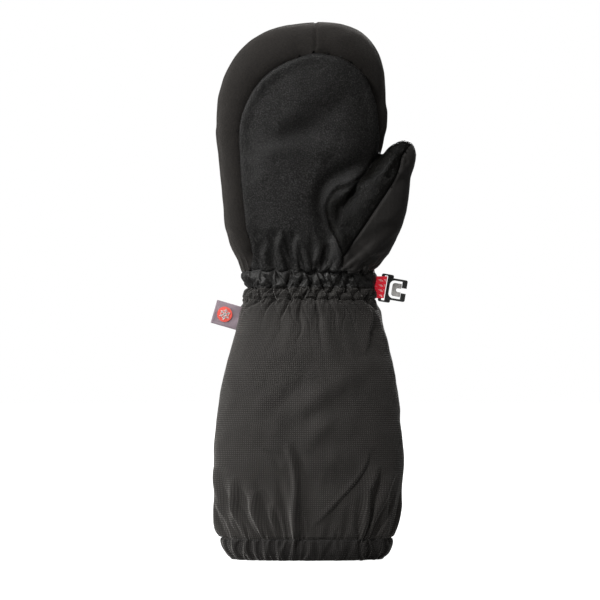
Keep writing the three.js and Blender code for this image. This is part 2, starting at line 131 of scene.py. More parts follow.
# where the cloth starts and ends its bend at the wrist and at the thumb
WRIST_BEND = {"start": (0, 0, RUCHE_LOW * MM), "end": (0, 0, RUCHE_HIGH * MM)}
THUMB_BEND = {"start": tuple((HINGE_AT - 7 * HINGE_OUT) * MM), "end": tuple((HINGE_AT + 9 * HINGE_OUT) * MM)}


def along(stations, at):
    """A smooth curve through (place, value) stations."""
    xs, ys = np.array(stations, float).T
    at = np.asarray(at, float)
    i = np.clip(np.searchsorted(xs, at, side="left") - 1, 0, len(xs) - 2)
    low = np.maximum(np.arange(len(xs)) - 1, 0)
    high = np.minimum(np.arange(len(xs)) + 1, len(xs) - 1)
    slope = (ys[high] - ys[low]) / (xs[high] - xs[low])
    step = xs[i + 1] - xs[i]
    t = np.clip((at - xs[i]) / step, 0, 1)
    enter = slope[i] * step * t * (1 - t) ** 2
    leave = slope[i + 1] * step * t * t * (t - 1)
    return ys[i] + (ys[i + 1] - ys[i]) * t * t * (3 - 2 * t) + enter + leave


def dome(at, start, end, power):
    """A quarter of a superellipse: 1 at start, 0 at end."""
    t = np.clip((at - start) / (end - start), 0, 1)
    return (1 - t**power) ** (1 / power)


def smoothstep(low, high, value):
    """0 below low, 1 above high, and smooth between them; it falls if low is the larger one."""
    t = np.clip((value - low) / (high - low), 0, 1)
    return t * t * (3 - 2 * t)


def bell(value, width):
    """1 where value is 0, and near 0 from about twice the width on."""
    return np.exp(-((value / width) ** 2))


def mound(x, z, middle_x, middle_z, half_x, half_z):
    """1 at a place on the front, falling off like a bell over an oval round it."""
    return np.exp(-(((x - middle_x) / half_x) ** 2) - ((z - middle_z) / half_z) ** 2)


def unit(vectors):
    """The vectors at length 1."""
    return vectors / np.maximum(np.linalg.norm(vectors, axis=-1, keepdims=True), 1e-9)


def oval(angle, left, right, front, back, power):
    """A point on a superellipse whose four half axes differ."""
    c, s = np.cos(angle), np.sin(angle)
    x = np.where(c > 0, right, left) * np.sign(c) * np.abs(c) ** (2 / power)
    y = np.where(s > 0, back, front) * np.sign(s) * np.abs(s) ** (2 / power)
    return x, y


def section(z):
    """Left and right edge, middle, half thickness and middle depth of the gauntlet and hand at a height."""
    straight = z < DOME_Z
    left_tip = TOP_X - TIP_LEFT["reach"] * dome(z, *TIP_LEFT["dome"])
    right_tip = TOP_X + TIP_RIGHT["reach"] * dome(z, *TIP_RIGHT["dome"])
    thick_tip = HAND_HALF * dome(z, THICK_DOME_Z, TIP_Z, TIP_THICKNESS_POWER)
    left = np.where(straight, along(LEFT_EDGE, z), left_tip)
    right = np.where(z < RIGHT_DOME_Z, along(RIGHT_EDGE, z), right_tip)
    half = np.where(straight, along(HALF_THICKNESS, z), thick_tip)
    shift = (TIP_RIGHT["reach"] - TIP_LEFT["reach"]) / 2
    over_tip = TOP_X + shift * (TIP_Z - z) / (TIP_Z - DOME_Z)
    return left, right, np.where(straight, (left + right) / 2, over_tip), half, along(MIDDLE_Y, z)


def body_point(z, angle):
    """The outside of the gauntlet and hand at a height, `angle` turning from the right edge to the back."""
    z, angle = np.broadcast_arrays(np.asarray(z, float), angle)
    left, right, middle, half, middle_y = section(z)
    x, y = oval(angle, middle - left, right - middle, half, half, SQUARENESS)
    return np.stack([middle + x, middle_y + y, z], axis=-1)


def outward(points):
    """Level unit vectors that point away from the middle of each ring of points."""
    return unit((points - points.mean(axis=-2, keepdims=True)) * [1, 1, 0])


def turn_of(points):
    """How far round the mitten each place lies: 0 at the little finger's side, a quarter at the palm."""
    x, y, z = np.moveaxis(points, -1, 0)
    left, right, middle, half, middle_y = section(z)
    c = (x - middle) / np.maximum(np.where(x > middle, right - middle, middle - left), 1)
    s = (y - middle_y) / np.maximum(half, 1)
    angle = np.arctan2(np.sign(s) * np.abs(s) ** (SQUARENESS / 2), np.sign(c) * np.abs(c) ** (SQUARENESS / 2))
    return np.interp(angle, ANGLES, TURN)


def thumb_point(s, angle):
    """The outside of the thumb at a distance along its own axis."""
    axis = THUMB_TIP - THUMB_ROOT
    length = np.linalg.norm(axis)
    axis = axis / length
    across = np.cross([0, 1, 0], axis)
    s, angle = np.broadcast_arrays(np.asarray(s, float), angle)
    shrink = dome(s, THUMB_DOME, length, 2)
    half = along(THUMB_HALF, s) * shrink
    left, right = along(THUMB_LEFT, s) * shrink, along(THUMB_RIGHT, s) * shrink
    u, y = oval(angle, left, right, half, half, THUMB_SQUARENESS)
    point = THUMB_ROOT + s[..., None] * axis + u[..., None] * across
    point[..., 1] = along(THUMB_Y, s) + y
    return point


# ------------------------ surfaces as arrays


def add_object(name, data):
    piece = bpy.data.objects.new(name, data)
    bpy.context.scene.collection.objects.link(piece)
    return piece


class Surface:
    """Triangles. Each vertex has its place, where it lay before it was folded, and its weave coordinates."""

    def __init__(self, points, tris, flat=None, weave=None):
        self.points, self.tris = np.asarray(points, float), np.asarray(tris, int)
        self.flat = self.points.copy() if flat is None else flat
        self.weave = self.flat[:, [0, 2]] if weave is None else weave

    def normals(self):
        a, b, c = (self.points[self.tris[:, k]] for k in range(3))
        face = np.cross(b - a, c - a)
        out = np.zeros_like(self.points)
        for k in range(3):
            np.add.at(out, self.tris[:, k], face)
        return unit(out)

    def push(self, distance):
        """Moves each vertex along its normal."""
        self.points = self.points + self.normals() * np.asarray(distance)[:, None]

    def part(self, keep):
        """The triangles that `keep` marks, with only their vertices."""
        used, index = np.unique(self.tris[keep], return_inverse=True)
        tris = index.reshape(-1, 3)
        return Surface(self.points[used], tris, self.flat[used], self.weave[used])

    def cut(self, value):
        """Cuts along the line where value is 0. Returns the part below 0 and the part above."""
        value = np.where(np.abs(value) < 1e-4, 1e-4, value)
        above = value > 0
        count = above[self.tris].sum(axis=1)
        crossed = (count > 0) & (count < 3)
        tris = self.tris[crossed]
        odd = count[crossed] == 1  # whether the lone corner is the one above
        lone = np.argmax(above[tris] == odd[:, None], axis=1)
        rows = np.arange(len(tris))
        a = tris[rows, lone]
        b = tris[rows, (lone + 1) % 3]
        c = tris[rows, (lone + 2) % 3]
        pairs = np.sort(np.concatenate([np.stack([a, b], 1), np.stack([a, c], 1)]), axis=1)
        edges, index = np.unique(pairs, axis=0, return_inverse=True)
        index = index.reshape(-1) + len(self.points)
        p, q = edges.T
        t = np.clip(value[p] / (value[p] - value[q]), 0.02, 0.98)[:, None]
        grown = [np.concatenate([v, v[p] * (1 - t) + v[q] * t]) for v in (self.points, self.flat, self.weave)]
        ab, ac = index[: len(tris)], index[len(tris) :]
        tip = np.stack([a, ab, ac], 1)
        rest = np.concatenate([np.stack([ab, b, c], 1), np.stack([ab, c, ac], 1)])
        whole = Surface(grown[0], np.concatenate([self.tris[~crossed], tip, rest]), grown[1], grown[2])
        side = np.concatenate([count[~crossed] == 3, odd, np.tile(~odd, 2)])
        return whole.part(~side), whole.part(side)

    def tuck(self, depth):
        """Turns every open edge inwards, so that a seam has no gap behind it."""
        edges = np.concatenate([self.tris[:, [0, 1]], self.tris[:, [1, 2]], self.tris[:, [2, 0]]])
        key = np.sort(edges, axis=1)
        _, first, count = np.unique(key, axis=0, return_index=True, return_counts=True)
        rim = edges[first[count == 1]]
        used, index = np.unique(rim, return_inverse=True)
        ends = index.reshape(-1, 2) + len(self.points)
        inner = self.points[used] - self.normals()[used] * depth
        a, b = rim.T
        c, d = ends.T
        self.points = np.concatenate([self.points, inner])
        self.flat = np.concatenate([self.flat, self.flat[used]])
        self.weave = np.concatenate([self.weave, self.weave[used]])
        self.tris = np.concatenate([self.tris, np.stack([b, a, c], 1), np.stack([b, c, d], 1)])
        return self

    def mesh(self, name):
        """The surface as a Blender object, with a UV map of the weave and the flat places as an attribute."""
        mesh = bpy.data.meshes.new(name)
        mesh.from_pydata((self.points * MM).tolist(), [], self.tris.tolist())
        mesh.polygons.foreach_set("use_smooth", np.ones(len(self.tris), bool))
        weave = mesh.uv_layers.new(name="weave")
        weave.data.foreach_set("uv", (self.weave[self.tris.ravel()] * MM).astype(np.float32).ravel())
        flat = mesh.attributes.new("flat", "FLOAT_VECTOR", "POINT")
        flat.data.foreach_set("vector", (self.flat * MM).astype(np.float32).ravel())
        mesh.update()
        return add_object(name, mesh)


def grid(points, weave, closed):
    """A surface over rows of points, each row closed into a ring or not."""
    rows, columns = points.shape[:2]
    i = np.arange(rows - 1)[:, None]
    j = np.arange(columns if closed else columns - 1)[None, :]
    a, b = i * columns + j, i * columns + (j + 1) % columns
    tris = np.concatenate([
        np.stack([a, b, b + columns], -1).reshape(-1, 3),
        np.stack([a, b + columns, a + columns], -1).reshape(-1, 3),
    ])
    return Surface(points.reshape(-1, 3), tris, weave=weave.reshape(-1, 2))


def surface_of(mesh):
    """A Blender mesh in metres as a Surface in millimetres."""
    mesh.calc_loop_triangles()
    points = np.zeros(len(mesh.vertices) * 3)
    mesh.vertices.foreach_get("co", points)
    tris = np.zeros(len(mesh.loop_triangles) * 3, int)
    mesh.loop_triangles.foreach_get("vertices", tris)
    return Surface(points.reshape(-1, 3) / MM, tris.reshape(-1, 3))


def evaluated(piece):
    """The mesh of an object with its modifiers applied, at the current frame."""
    bpy.context.view_layer.update()
    return bpy.data.meshes.new_from_object(piece.evaluated_get(bpy.context.evaluated_depsgraph_get()))


def consumed(piece):
    """The evaluated mesh of an object that is then removed."""
    mesh = evaluated(piece)
    bpy.data.objects.remove(piece)
    return mesh


# ------------------------ lines and noise on the cloth


def curve_through(controls, steps=8):
    """Points on a smooth curve through the control points."""
    c = np.array(controls, float)
    padded = np.concatenate([[2 * c[0] - c[1]], c, [2 * c[-1] - c[-2]]])
    t = np.linspace(0, 1, steps, endpoint=False)[:, None]
    out = []
    for p0, p1, p2, p3 in zip(padded, padded[1:], padded[2:], padded[3:]):
        cubic = -p0 + 3 * p1 - 3 * p2 + p3
        square = 2 * p0 - 5 * p1 + 4 * p2 - p3
        out.append(p1 + 0.5 * t * (p2 - p0) + 0.5 * t**2 * square + 0.5 * t**3 * cubic)
    return np.concatenate([*out, c[-1:]])


def beside(line, places):
    """Each place's signed distance to the left of a polyline, and where along it that is, from 0 to 1."""
    best = np.full(len(places), np.inf)
    signed, where = np.zeros(len(places)), np.zeros(len(places))
    for k, (p, q) in enumerate(zip(line, line[1:])):
        d = q - p
        t = np.clip(((places - p) @ d) / (d @ d), 0, 1)
        off = places - p - t[:, None] * d
        dist = np.hypot(*off.T)
        closer = dist < best
        best = np.where(closer, dist, best)
        side = np.sign(d[0] * off[:, 1] - d[1] * off[:, 0])
        signed = np.where(closer, side * dist, signed)
        where = np.where(closer, (k + t) / (len(line) - 1), where)
    return signed, where


def inside_of(line, places):
    """Signed distance to a closed polyline, negative inside it."""
    loop = np.concatenate([line, line[:1]])
    distance = np.abs(beside(loop, places)[0])
    inside = np.zeros(len(places), bool)
    x, z = places.T
    for (x0, z0), (x1, z1) in zip(loop, loop[1:]):
        crosses = (z0 > z) != (z1 > z)
        if z0 != z1:
            inside ^= crosses & (x < (x1 - x0) * (z - z0) / (z1 - z0) + x0)
    return np.where(inside, -distance, distance)


def speckle(places, size, seed):
    """Smooth noise from -1 to 1 at each place."""
    scaled = places / size + seed * 17.3
    return np.array([noise.noise(Vector(p)) for p in scaled])


def round_noise(turn, height, lobes, stretch, seed):
    """Noise that runs on round the mitten: `turn` is 0 to 1 round it, with about `lobes` lumps a turn."""
    radius = lobes / (2 * math.pi)
    a = 2 * math.pi * turn
    places = np.stack([radius * np.cos(a), radius * np.sin(a), height / stretch], -1).reshape(-1, 3)
    return speckle(places, 1, seed).reshape(np.shape(turn))


def pleat(phase, sharpness=0.75):
    """Round ridges with sharp valleys at whole numbers of the phase, from 0 to 1."""
    return np.abs(np.sin(math.pi * phase)) ** sharpness


def creased(places, strokes):
    """Adds up creases. Each is a line with a width, a depth, and the height of the lip beside it.

    On a line that runs down, the lip is on the left, or on the right if its height is negative.
    """
    total = np.zeros(len(places))
    for line, width, depth, lip in strokes:
        signed, where = beside(curve_through(line), places)
        side = signed if lip < 0 else -signed
        taper = np.sin(math.pi * np.clip(where, 0, 1)) ** 0.7
        reach = np.where((side > 0) | (lip == 0), width, 2.2 * width)
        total -= depth * taper * bell(side, reach)
        total += abs(lip) * taper * bell(side - 1.6 * width, 1.5 * width)
    return total


# ------------------------ the gauntlet and the wrist

AROUND = 560  # points round the gauntlet
UNDER = 1.5  # how far the gauntlet and the hand reach under the gathered wrist
REFERENCE_Z = 96  # the height at which those points are evenly spaced


def even_angles():
    """Angles that go round the gauntlet in even steps, from the left edge over the front."""
    fine = np.linspace(-math.pi, math.pi, 4000)
    ring = body_point(REFERENCE_Z, fine)
    run = np.concatenate([[0], np.cumsum(np.linalg.norm(np.diff(ring, axis=0), axis=1))])
    return np.interp(np.linspace(0, run[-1], AROUND, endpoint=False), run, fine), run[-1]


ANGLES, GIRTH = even_angles()
TURN = np.arange(AROUND) / AROUND  # 0 at the left side seam, a quarter in front, a half at the right seam

SLEEVE_TOP = 214  # the gauntlet's cloth is gathered together with the lowest part of the hand
HEM_EDGE = 1.2

# where elastic or a seam holds the cloth: how deep it is drawn in, and how much less on top of its gathers
GATHER_ROWS = {
    HEM_EDGE: (1.3, 1.2),
    HEM_SEAM: (1.3, 1.2),
    RUCHE_LOW: (1.2, 1.1),
    WRIST_SEAM: (2.2, 1.5),
    RUCHE_HIGH: (1.8, 1.4),
}
BANDS = ((0, 64), (118, SLEEVE_TOP))  # the heights between which the cloth is simulated
HEM_GATHERS = 21
HEM_FULLNESS, WRIST_FULLNESS = 0.16, 0.22  # how much wider the cloth is cut than its place
HEM_PRESSURE, WRIST_PRESSURE = 0.6, 1.1
PULL_FRAMES, SLEEVE_FRAMES = 16, 30  # the rows are pulled in, and then the cloth settles
LINING_ROOM, WRIST_ROOM = 0.9, 2.8  # how far the cloth can go in before it lies on its lining

GATHER_X = (-41, -32, -22.5, -13.5, -5, 3, 10.5, 18, 26, 33.5, 40.4)  # the wrist's gathers across its front
GATHER_PHASE = (0, 1, 3, 5, 7, 9, 11, 13, 15, 17, 18)


def gather_phase(turn):
    """Goes up by 2 a gather: even where the wrist's middle row is drawn in, odd where its other rows are."""
    x = np.interp(turn, TURN, body_point(170, ANGLES)[:, 0])
    front = np.interp(x, GATHER_X, GATHER_PHASE)
    return np.where(turn < 0.5, front, GATHER_PHASE[-1] * (1 + 2 * (turn - 0.5)))


def row_gathers(turn, row):
    """How far the cloth stands out on a stitched row: the elastic draws it in, in small gathers."""
    if row < SLEEVE_TOP / 2:
        return pleat(HEM_GATHERS * turn + 1.3 * round_noise(turn, 0 * turn, 11, 10, 31 + row), 1)
    return pleat((gather_phase(turn) + (row != WRIST_SEAM)) / 2, 1)


def wrist_relief(turn, z):
    """Zigzag puffs between the rows of the wrist, and short folds that fan out of it."""
    below, above = np.clip(RUCHE_LOW - z, 0, None), np.clip(z - RUCHE_HIGH, 0, None)
    phase = gather_phase(turn) + 0.35 * round_noise(turn, z, 20, 9, 41)
    lean = -0.1 * below * np.sin(2 * math.pi * (turn - 0.25))  # the folds below spread out to both sides

    def from_gather(shift):
        """0 at a gather of the middle row, 1 at one of the other rows."""
        return np.abs((phase + shift + 1) % 2 - 1)

    valley = np.where(
        z < WRIST_SEAM,
        (WRIST_SEAM - z) / (WRIST_SEAM - RUCHE_LOW),
        (z - WRIST_SEAM) / (RUCHE_HIGH - WRIST_SEAM),
    ).clip(0, 1)
    width = np.where(z < RUCHE_LOW, 0.28, 0.35)
    puff = np.minimum(np.abs(from_gather(lean) - valley) / width, 1) ** 0.8
    crossing = np.minimum(np.abs(from_gather(-1.2 * lean - 0.05 * below) - valley) / width, 1) ** 0.8
    puff = np.minimum(puff, np.where(z < RUCHE_LOW, 0.5 + 0.5 * crossing, 1))
    reach = np.maximum(11 + 9 * round_noise(turn, 0 * z, 14, 9, 42), 4)
    height = 1.6 + 1.2 * smoothstep(0, 6, below)
    # it lies flat where the webbing comes out, and under the label
    height = height * (1 - bell(turn - 0.5, 0.035))
    from_label = np.abs((turn + 0.5) % 1 - 0.5)
    height = height * (1 - smoothstep(0, 3, below) * bell(from_label, 0.04))
    sunk = 0.6 * smoothstep(RUCHE_LOW - 4, RUCHE_LOW + 3, z) * smoothstep(RUCHE_HIGH + 1, RUCHE_HIGH - 1, z)
    return height * puff * np.exp(-below / reach - above / 5) - sunk


def flat_part(x, y):
    """1 where the hem lies flat: the middle of the front, towards the thumb's side."""
    return smoothstep(-12, -3, x) * smoothstep(36, 29, x) * (y < 0)


def cloth_cut(shape, out, turn):
    """The shape the sleeve's cloth is cut to: wider and longer than its place where elastic draws it in."""
    x, y, z = np.moveaxis(shape, -1, 0)
    wrist = WRIST_FULLNESS * smoothstep(144, 160, z) * smoothstep(204, 184, z)
    hem = HEM_FULLNESS * smoothstep(46, 20, z) * (1 - 0.85 * flat_part(x, y))
    fullness = 1 + (wrist + hem) * (1 + 0.4 * round_noise(turn, z, 7, 40, 12))
    middle = shape.mean(axis=1, keepdims=True)
    cut = middle + (shape - middle) * fullness[..., None]
    cut += out * round_noise(turn, z, 22, 12, 23)[..., None]
    cut[..., 2] += 0.17 * (np.clip(z, RUCHE_LOW, RUCHE_HIGH) - WRIST_SEAM) * (z > SLEEVE_TOP / 2)
    return cut


def sleeve_start(shape, out, turn):
    """Where the held rows of the sleeve end up, and a smooth guess between them."""
    x, y, z = np.moveaxis(shape, -1, 0)
    offset = 0.4 * round_noise(turn, z, 40, 9, 21) + 0.3 * round_noise(turn, z, 20, 14, 22)
    down = 0 * z
    for row, (deep, swing) in GATHER_ROWS.items():
        near = np.exp(-np.abs(z - row) / 1.2)
        loose = 1 if row > HEM_SEAM else 1 - 0.8 * flat_part(x, y)
        deep = deep * (1 - 0.8 * smoothstep(33, 38, x) * (row == WRIST_SEAM))  # the webbing is sewn in here
        gathers = row_gathers(turn, row)
        offset = offset * (1 - near) + near * loose * (swing * gathers - deep)
        if row in (RUCHE_LOW, RUCHE_HIGH):
            down = down + (1.8 if row == RUCHE_HIGH else -1.4) * near * (gathers - 0.5)
    start = shape + out * offset[..., None]
    start[..., 2] -= down
    return start


def run_cloth(piece, held, frames, pressure, settings):
    """The mesh of an object after its cloth has moved for some frames. `held` is 1 where it is pinned."""
    scene = bpy.context.scene
    scene.frame_set(1)
    group = piece.vertex_groups.new(name="held")
    for strength in np.unique(held[held > 0]):
        group.add(np.flatnonzero(held.ravel() == strength).tolist(), float(strength), "REPLACE")
    cloth = piece.modifiers.new("cloth", "CLOTH")
    for key, value in settings.items():
        setattr(cloth.settings, key, value)
    cloth.settings.use_pressure = True
    cloth.settings.uniform_pressure_force = pressure
    cloth.settings.vertex_group_mass = "held"
    cloth.settings.effector_weights.gravity = 0
    cloth.collision_settings.use_collision = False
    cloth.point_cache.frame_start = 1
    cloth.point_cache.frame_end = frames
    for step in range(1, frames + 1):
        scene.frame_set(step)
    done = evaluated(piece)
    scene.frame_set(1)
    bpy.data.objects.remove(piece)
    return done


SLEEVE_CLOTH = {
    "quality": 6,
    "mass": 0.3,
    "tension_stiffness": 20,
    "compression_stiffness": 20,
    "shear_stiffness": 4,
    "bending_stiffness": 9.0,
    "tension_damping": 8,
    "compression_damping": 8,
    "air_damping": 2,
}
HAND_CLOTH = {
    "quality": 5,
    "mass": 0.25,
    "tension_stiffness": 12,
    "compression_stiffness": 12,
    "shear_stiffness": 6,
    "bending_stiffness": 1.5,
    "air_damping": 4,
}
CLOTH_SCALE = 25  # cloth forces suit a sleeve of this many times its size


def simulated(start, cut, held, pressure):
    """Cloth cut to the shape `cut`, with its held points pulled to `start`. Both are rings of points."""
    rows, columns = start.shape[:2]
    i, j = np.arange(rows - 1)[:, None], np.arange(columns)[None, :]
    a, b = i * columns + j, i * columns + (j + 1) % columns
    mesh = bpy.data.meshes.new("sleeve_cloth")
    quads = np.stack([a, b, b + columns, a + columns], -1).reshape(-1, 4)
    mesh.from_pydata((cut.reshape(-1, 3) * MM * CLOTH_SCALE).tolist(), [], quads.tolist())
    piece = add_object("sleeve_cloth", mesh)
    piece.shape_key_add(name="cut")
    drawn = piece.shape_key_add(name="drawn_in")
    drawn.data.foreach_set("co", (start.reshape(-1, 3) * MM * CLOTH_SCALE).astype(np.float32).ravel())
    for value, step in ((0, 1), (1, PULL_FRAMES)):
        drawn.value = value
        drawn.keyframe_insert("value", frame=step)
    places = np.zeros(rows * columns * 3)
    run_cloth(piece, held, SLEEVE_FRAMES, pressure, SLEEVE_CLOTH).vertices.foreach_get("co", places)
    return places.reshape(start.shape) / (MM * CLOTH_SCALE)


def doubled(rings):
    """Twice as many rings, and twice as many points on each, on smooth curves through the ones given."""

    def between_points(a, b, c, d):
        return (9 * (b + c) - a - d) / 16

    middle = between_points(*(np.roll(rings, k, axis=1) for k in (1, 0, -1, -2)))
    wide = np.stack([rings, middle], axis=2).reshape(len(rings), -1, rings.shape[-1])
    padded = np.concatenate([2 * wide[:1] - wide[1:2], wide, 2 * wide[-1:] - wide[-2:-1]])
    out = np.empty((2 * len(wide) - 1, *wide.shape[1:]))
    out[0::2] = wide
    out[1::2] = between_points(padded[:-3], padded[1:-2], padded[2:-1], padded[3:])
    return out


def gathered_sleeve():
    """How far each place of the sleeve, row by row and turn by turn, moves as its elastic draws it in."""
    heights = np.arange(HEM_EDGE, SLEEVE_TOP, 1.0)
    shape = body_point(heights[:, None], ANGLES[None, ::2])
    turn = np.broadcast_to(TURN[::2], shape.shape[:2])
    out = outward(shape)
    start = sleeve_start(shape, out, turn)
    moved = start - shape
    for low, high in BANDS:
        band = (heights >= low) & (heights <= high)
        cut = cloth_cut(shape[band], out[band], turn[band])
        z = shape[band][..., 2]
        held = np.where(np.min([np.abs(z - row) for row in GATHER_ROWS], axis=0) < 0.5, 1.0, 0.0)
        calm = smoothstep(30, 56, z) * smoothstep(144, 124, z)
        held = np.maximum(held, np.round(0.3 * calm, 2))
        held[[0, -1]] = 1
        drawn = simulated(start[band], cut, held, WRIST_PRESSURE if low else HEM_PRESSURE) - shape[band]
        inner_end = smoothstep(low, low + 14, z) if low else smoothstep(high, high - 14, z)
        moved[band] = moved[band] + (drawn - moved[band]) * inner_end[..., None]
    # the cloth lies on its lining, so it can't go in further than that
    along_ring = np.roll(shape, -1, axis=1) - np.roll(shape, 1, axis=1)
    normal = unit(np.cross(along_ring, [0, 0, 1]))
    normal *= np.sign((normal * out).sum(axis=-1, keepdims=True))
    inwards = (moved * normal).sum(axis=-1, keepdims=True)
    room = np.where((heights > RUCHE_LOW) & (heights < RUCHE_HIGH), WRIST_ROOM, LINING_ROOM)
    moved += normal * np.maximum(-room[:, None, None] - inwards, 0)
    # below the wrist only the broad folds stay
    broad = sum(np.roll(moved, k, axis=1) for k in range(-4, 5)) / 9
    calm = smoothstep(118, 124, heights) * smoothstep(RUCHE_LOW - 1, RUCHE_LOW - 4, heights)
    moved = moved + (broad - moved) * calm[:, None, None]
    return doubled(moved), np.linspace(heights[0], heights[-1], 2 * len(heights) - 1)


def sleeve_move(turn, z):
    """The gathered sleeve's movement at any place on it."""
    rings, heights = SLEEVE
    row = np.clip((z - heights[0]) / (heights[1] - heights[0]), 0, len(heights) - 1.001)
    column = np.mod(turn, 1) * rings.shape[1]
    i, j = row.astype(int), np.mod(column.astype(int), rings.shape[1])
    k = (j + 1) % rings.shape[1]
    t, u = (row - i)[..., None], (column - np.floor(column))[..., None]
    low = rings[i, j] * (1 - u) + rings[i, k] * u
    return low * (1 - t) + t * (rings[i + 1, j] * (1 - u) + rings[i + 1, k] * u)


GAUNTLET_CREASES = [
    ([(-13, 76), (-8.6, 63), (-7, 45), (-7.4, 22), (-8.5, 4)], 1.9, 1.8, 2.7),
    ([(37.7, 72.4), (32.6, 57), (22.4, 43), (0.6, 20)], 1.4, 1.1, 0.8),
    ([(46.7, 120), (22, 106), (0, 92), (-24, 77)], 6, 1.2, 1.4),
    ([(6, 132), (-13, 104), (-30, 86)], 6, 1.0, 1.0),
    ([(22, 92), (8, 78), (-2, 66)], 4.5, 0.9, 0.8),
    ([(-31.4, 71), (-25, 66), (-19.9, 59.5)], 1.4, 1.1, 0.6),
    ([(-59, 60), (-57, 46), (-54.5, 24)], 2.0, 1.6, 2.0),
    ([(-47, 54), (-46, 38), (-43.5, 16)], 2.2, 1.8, 2.6),
    ([(-33, 46), (-32, 32), (-28, 16)], 2.2, 1.6, 2.4),
    ([(-23, 38), (-21, 27), (-19, 16)], 1.7, 1.4, 1.6),
    ([(56.5, 56), (50.5, 38), (47, 20)], 2.2, 1.6, 2.0),
    ([(44, 60), (37, 40), (35, 16)], 2.0, 1.7, 2.2),
    ([(-3.5, 34), (-1.5, 24), (-2, 14)], 1.4, 1.2, 1.0),
    ([(33, 167), (39.5, 150), (37, 130)], 1.9, 1.4, 1.6),
]
BACK_CREASES = [
    ([(-40, 118), (-14, 96), (12, 62), (22, 40)], 5, 1.3, 0.9),
    ([(44, 128), (20, 100), (-4, 84)], 4.5, 1.1, 0.8),
    ([(-48, 76), (-36, 50), (-33, 17)], 2.6, 1.7, 1.0),
    ([(14, 66), (10, 44), (11, 16)], 2.2, 1.8, 1.2),
    ([(38, 58), (40, 38), (36, 16)], 2.4, 1.5, 0.8),
    ([(-16, 60), (-12, 38), (-14, 16)], 2.2, 1.2, 0.8),
]


def gauntlet_relief(turn, points):
    """How far the gauntlet's cloth stands out of where its elastic alone would leave it."""
    x, y, z = np.moveaxis(points, -1, 0)
    total = -0.8 * bell(z - HEM_SEAM, 1.0) + 0.8 * bell(z - 7, 5)
    place = np.stack([x, z], -1).reshape(-1, 2)
    front = creased(place, GAUNTLET_CREASES).reshape(z.shape)
    back = creased(place, BACK_CREASES).reshape(z.shape)
    creases = np.where(y < 0, front, back) * smoothstep(0, 6, np.abs(y))
    total += smoothstep(HEM_SEAM - 6, HEM_SEAM, z) * creases
    lumps = round_noise(turn, z, 9, 34, 1) + 0.5 * round_noise(turn, z, 21, 16, 2)
    total += 1.1 * lumps * smoothstep(-2, 14, z) * smoothstep(166, 140, z)
    total += 2.6 * (y < 0) * mound(x, z, 8, 86, 30, 24)  # the front is fullest here
    return np.where(total < 0, np.tanh(total), total)


HEM_TURN = ((0.35, 0.75), (1.1, 1.15), (2.2, 1.2), (3.2, 0.8), (3.9, -0.6))  # in from the lip, and below it
HEM_INSIDE = (3, 6, 10, 14)  # heights of the rings on the hem's inside


def sleeve_surface():
    """The whole gauntlet and wrist, from the hand down to the hem and round the hem's edge to its inside."""
    heights = np.arange(RUCHE_HIGH, HEM_EDGE, -0.5)
    points = body_point(heights[:, None], ANGLES[None, :])
    turn = np.broadcast_to(TURN, points.shape[:2])
    weave = np.stack([turn * GIRTH, np.broadcast_to(heights[:, None], turn.shape)], -1)
    flat, out = points, outward(points)
    relief = gauntlet_relief(turn, points) + wrist_relief(turn, points[..., 2])
    points = points + sleeve_move(turn, points[..., 2]) + out * relief[..., None]
    lip = points[-1]
    rings, marks = [points], [weave]
    for step, (inset, down) in enumerate(HEM_TURN):
        ring = lip - out[-1] * inset
        ring[:, 2] = np.maximum(lip[:, 2] - down, 0)
        rings.append(ring[None])
        marks.append((weave[-1] - [0, step + 1])[None])
    for height in HEM_INSIDE:
        ring = lip - out[-1] * (4.3 - 0.02 * height)
        ring[:, 2] = height
        rings.append(ring[None])
        marks.append((weave[-1] - [0, 6 + height])[None])
    # rows run downwards, so the rings turn the other way round to face out
    sleeve = grid(np.concatenate(rings)[:, ::-1], np.concatenate(marks)[:, ::-1], closed=True)
    inside = np.broadcast_to(lip - [0, 0, HEM_SEAM], (len(rings) - 1, *lip.shape))
    sleeve.flat = np.concatenate([flat, inside])[:, ::-1].reshape(-1, 3)
    return sleeve


# ------------------------ the hand and the thumb

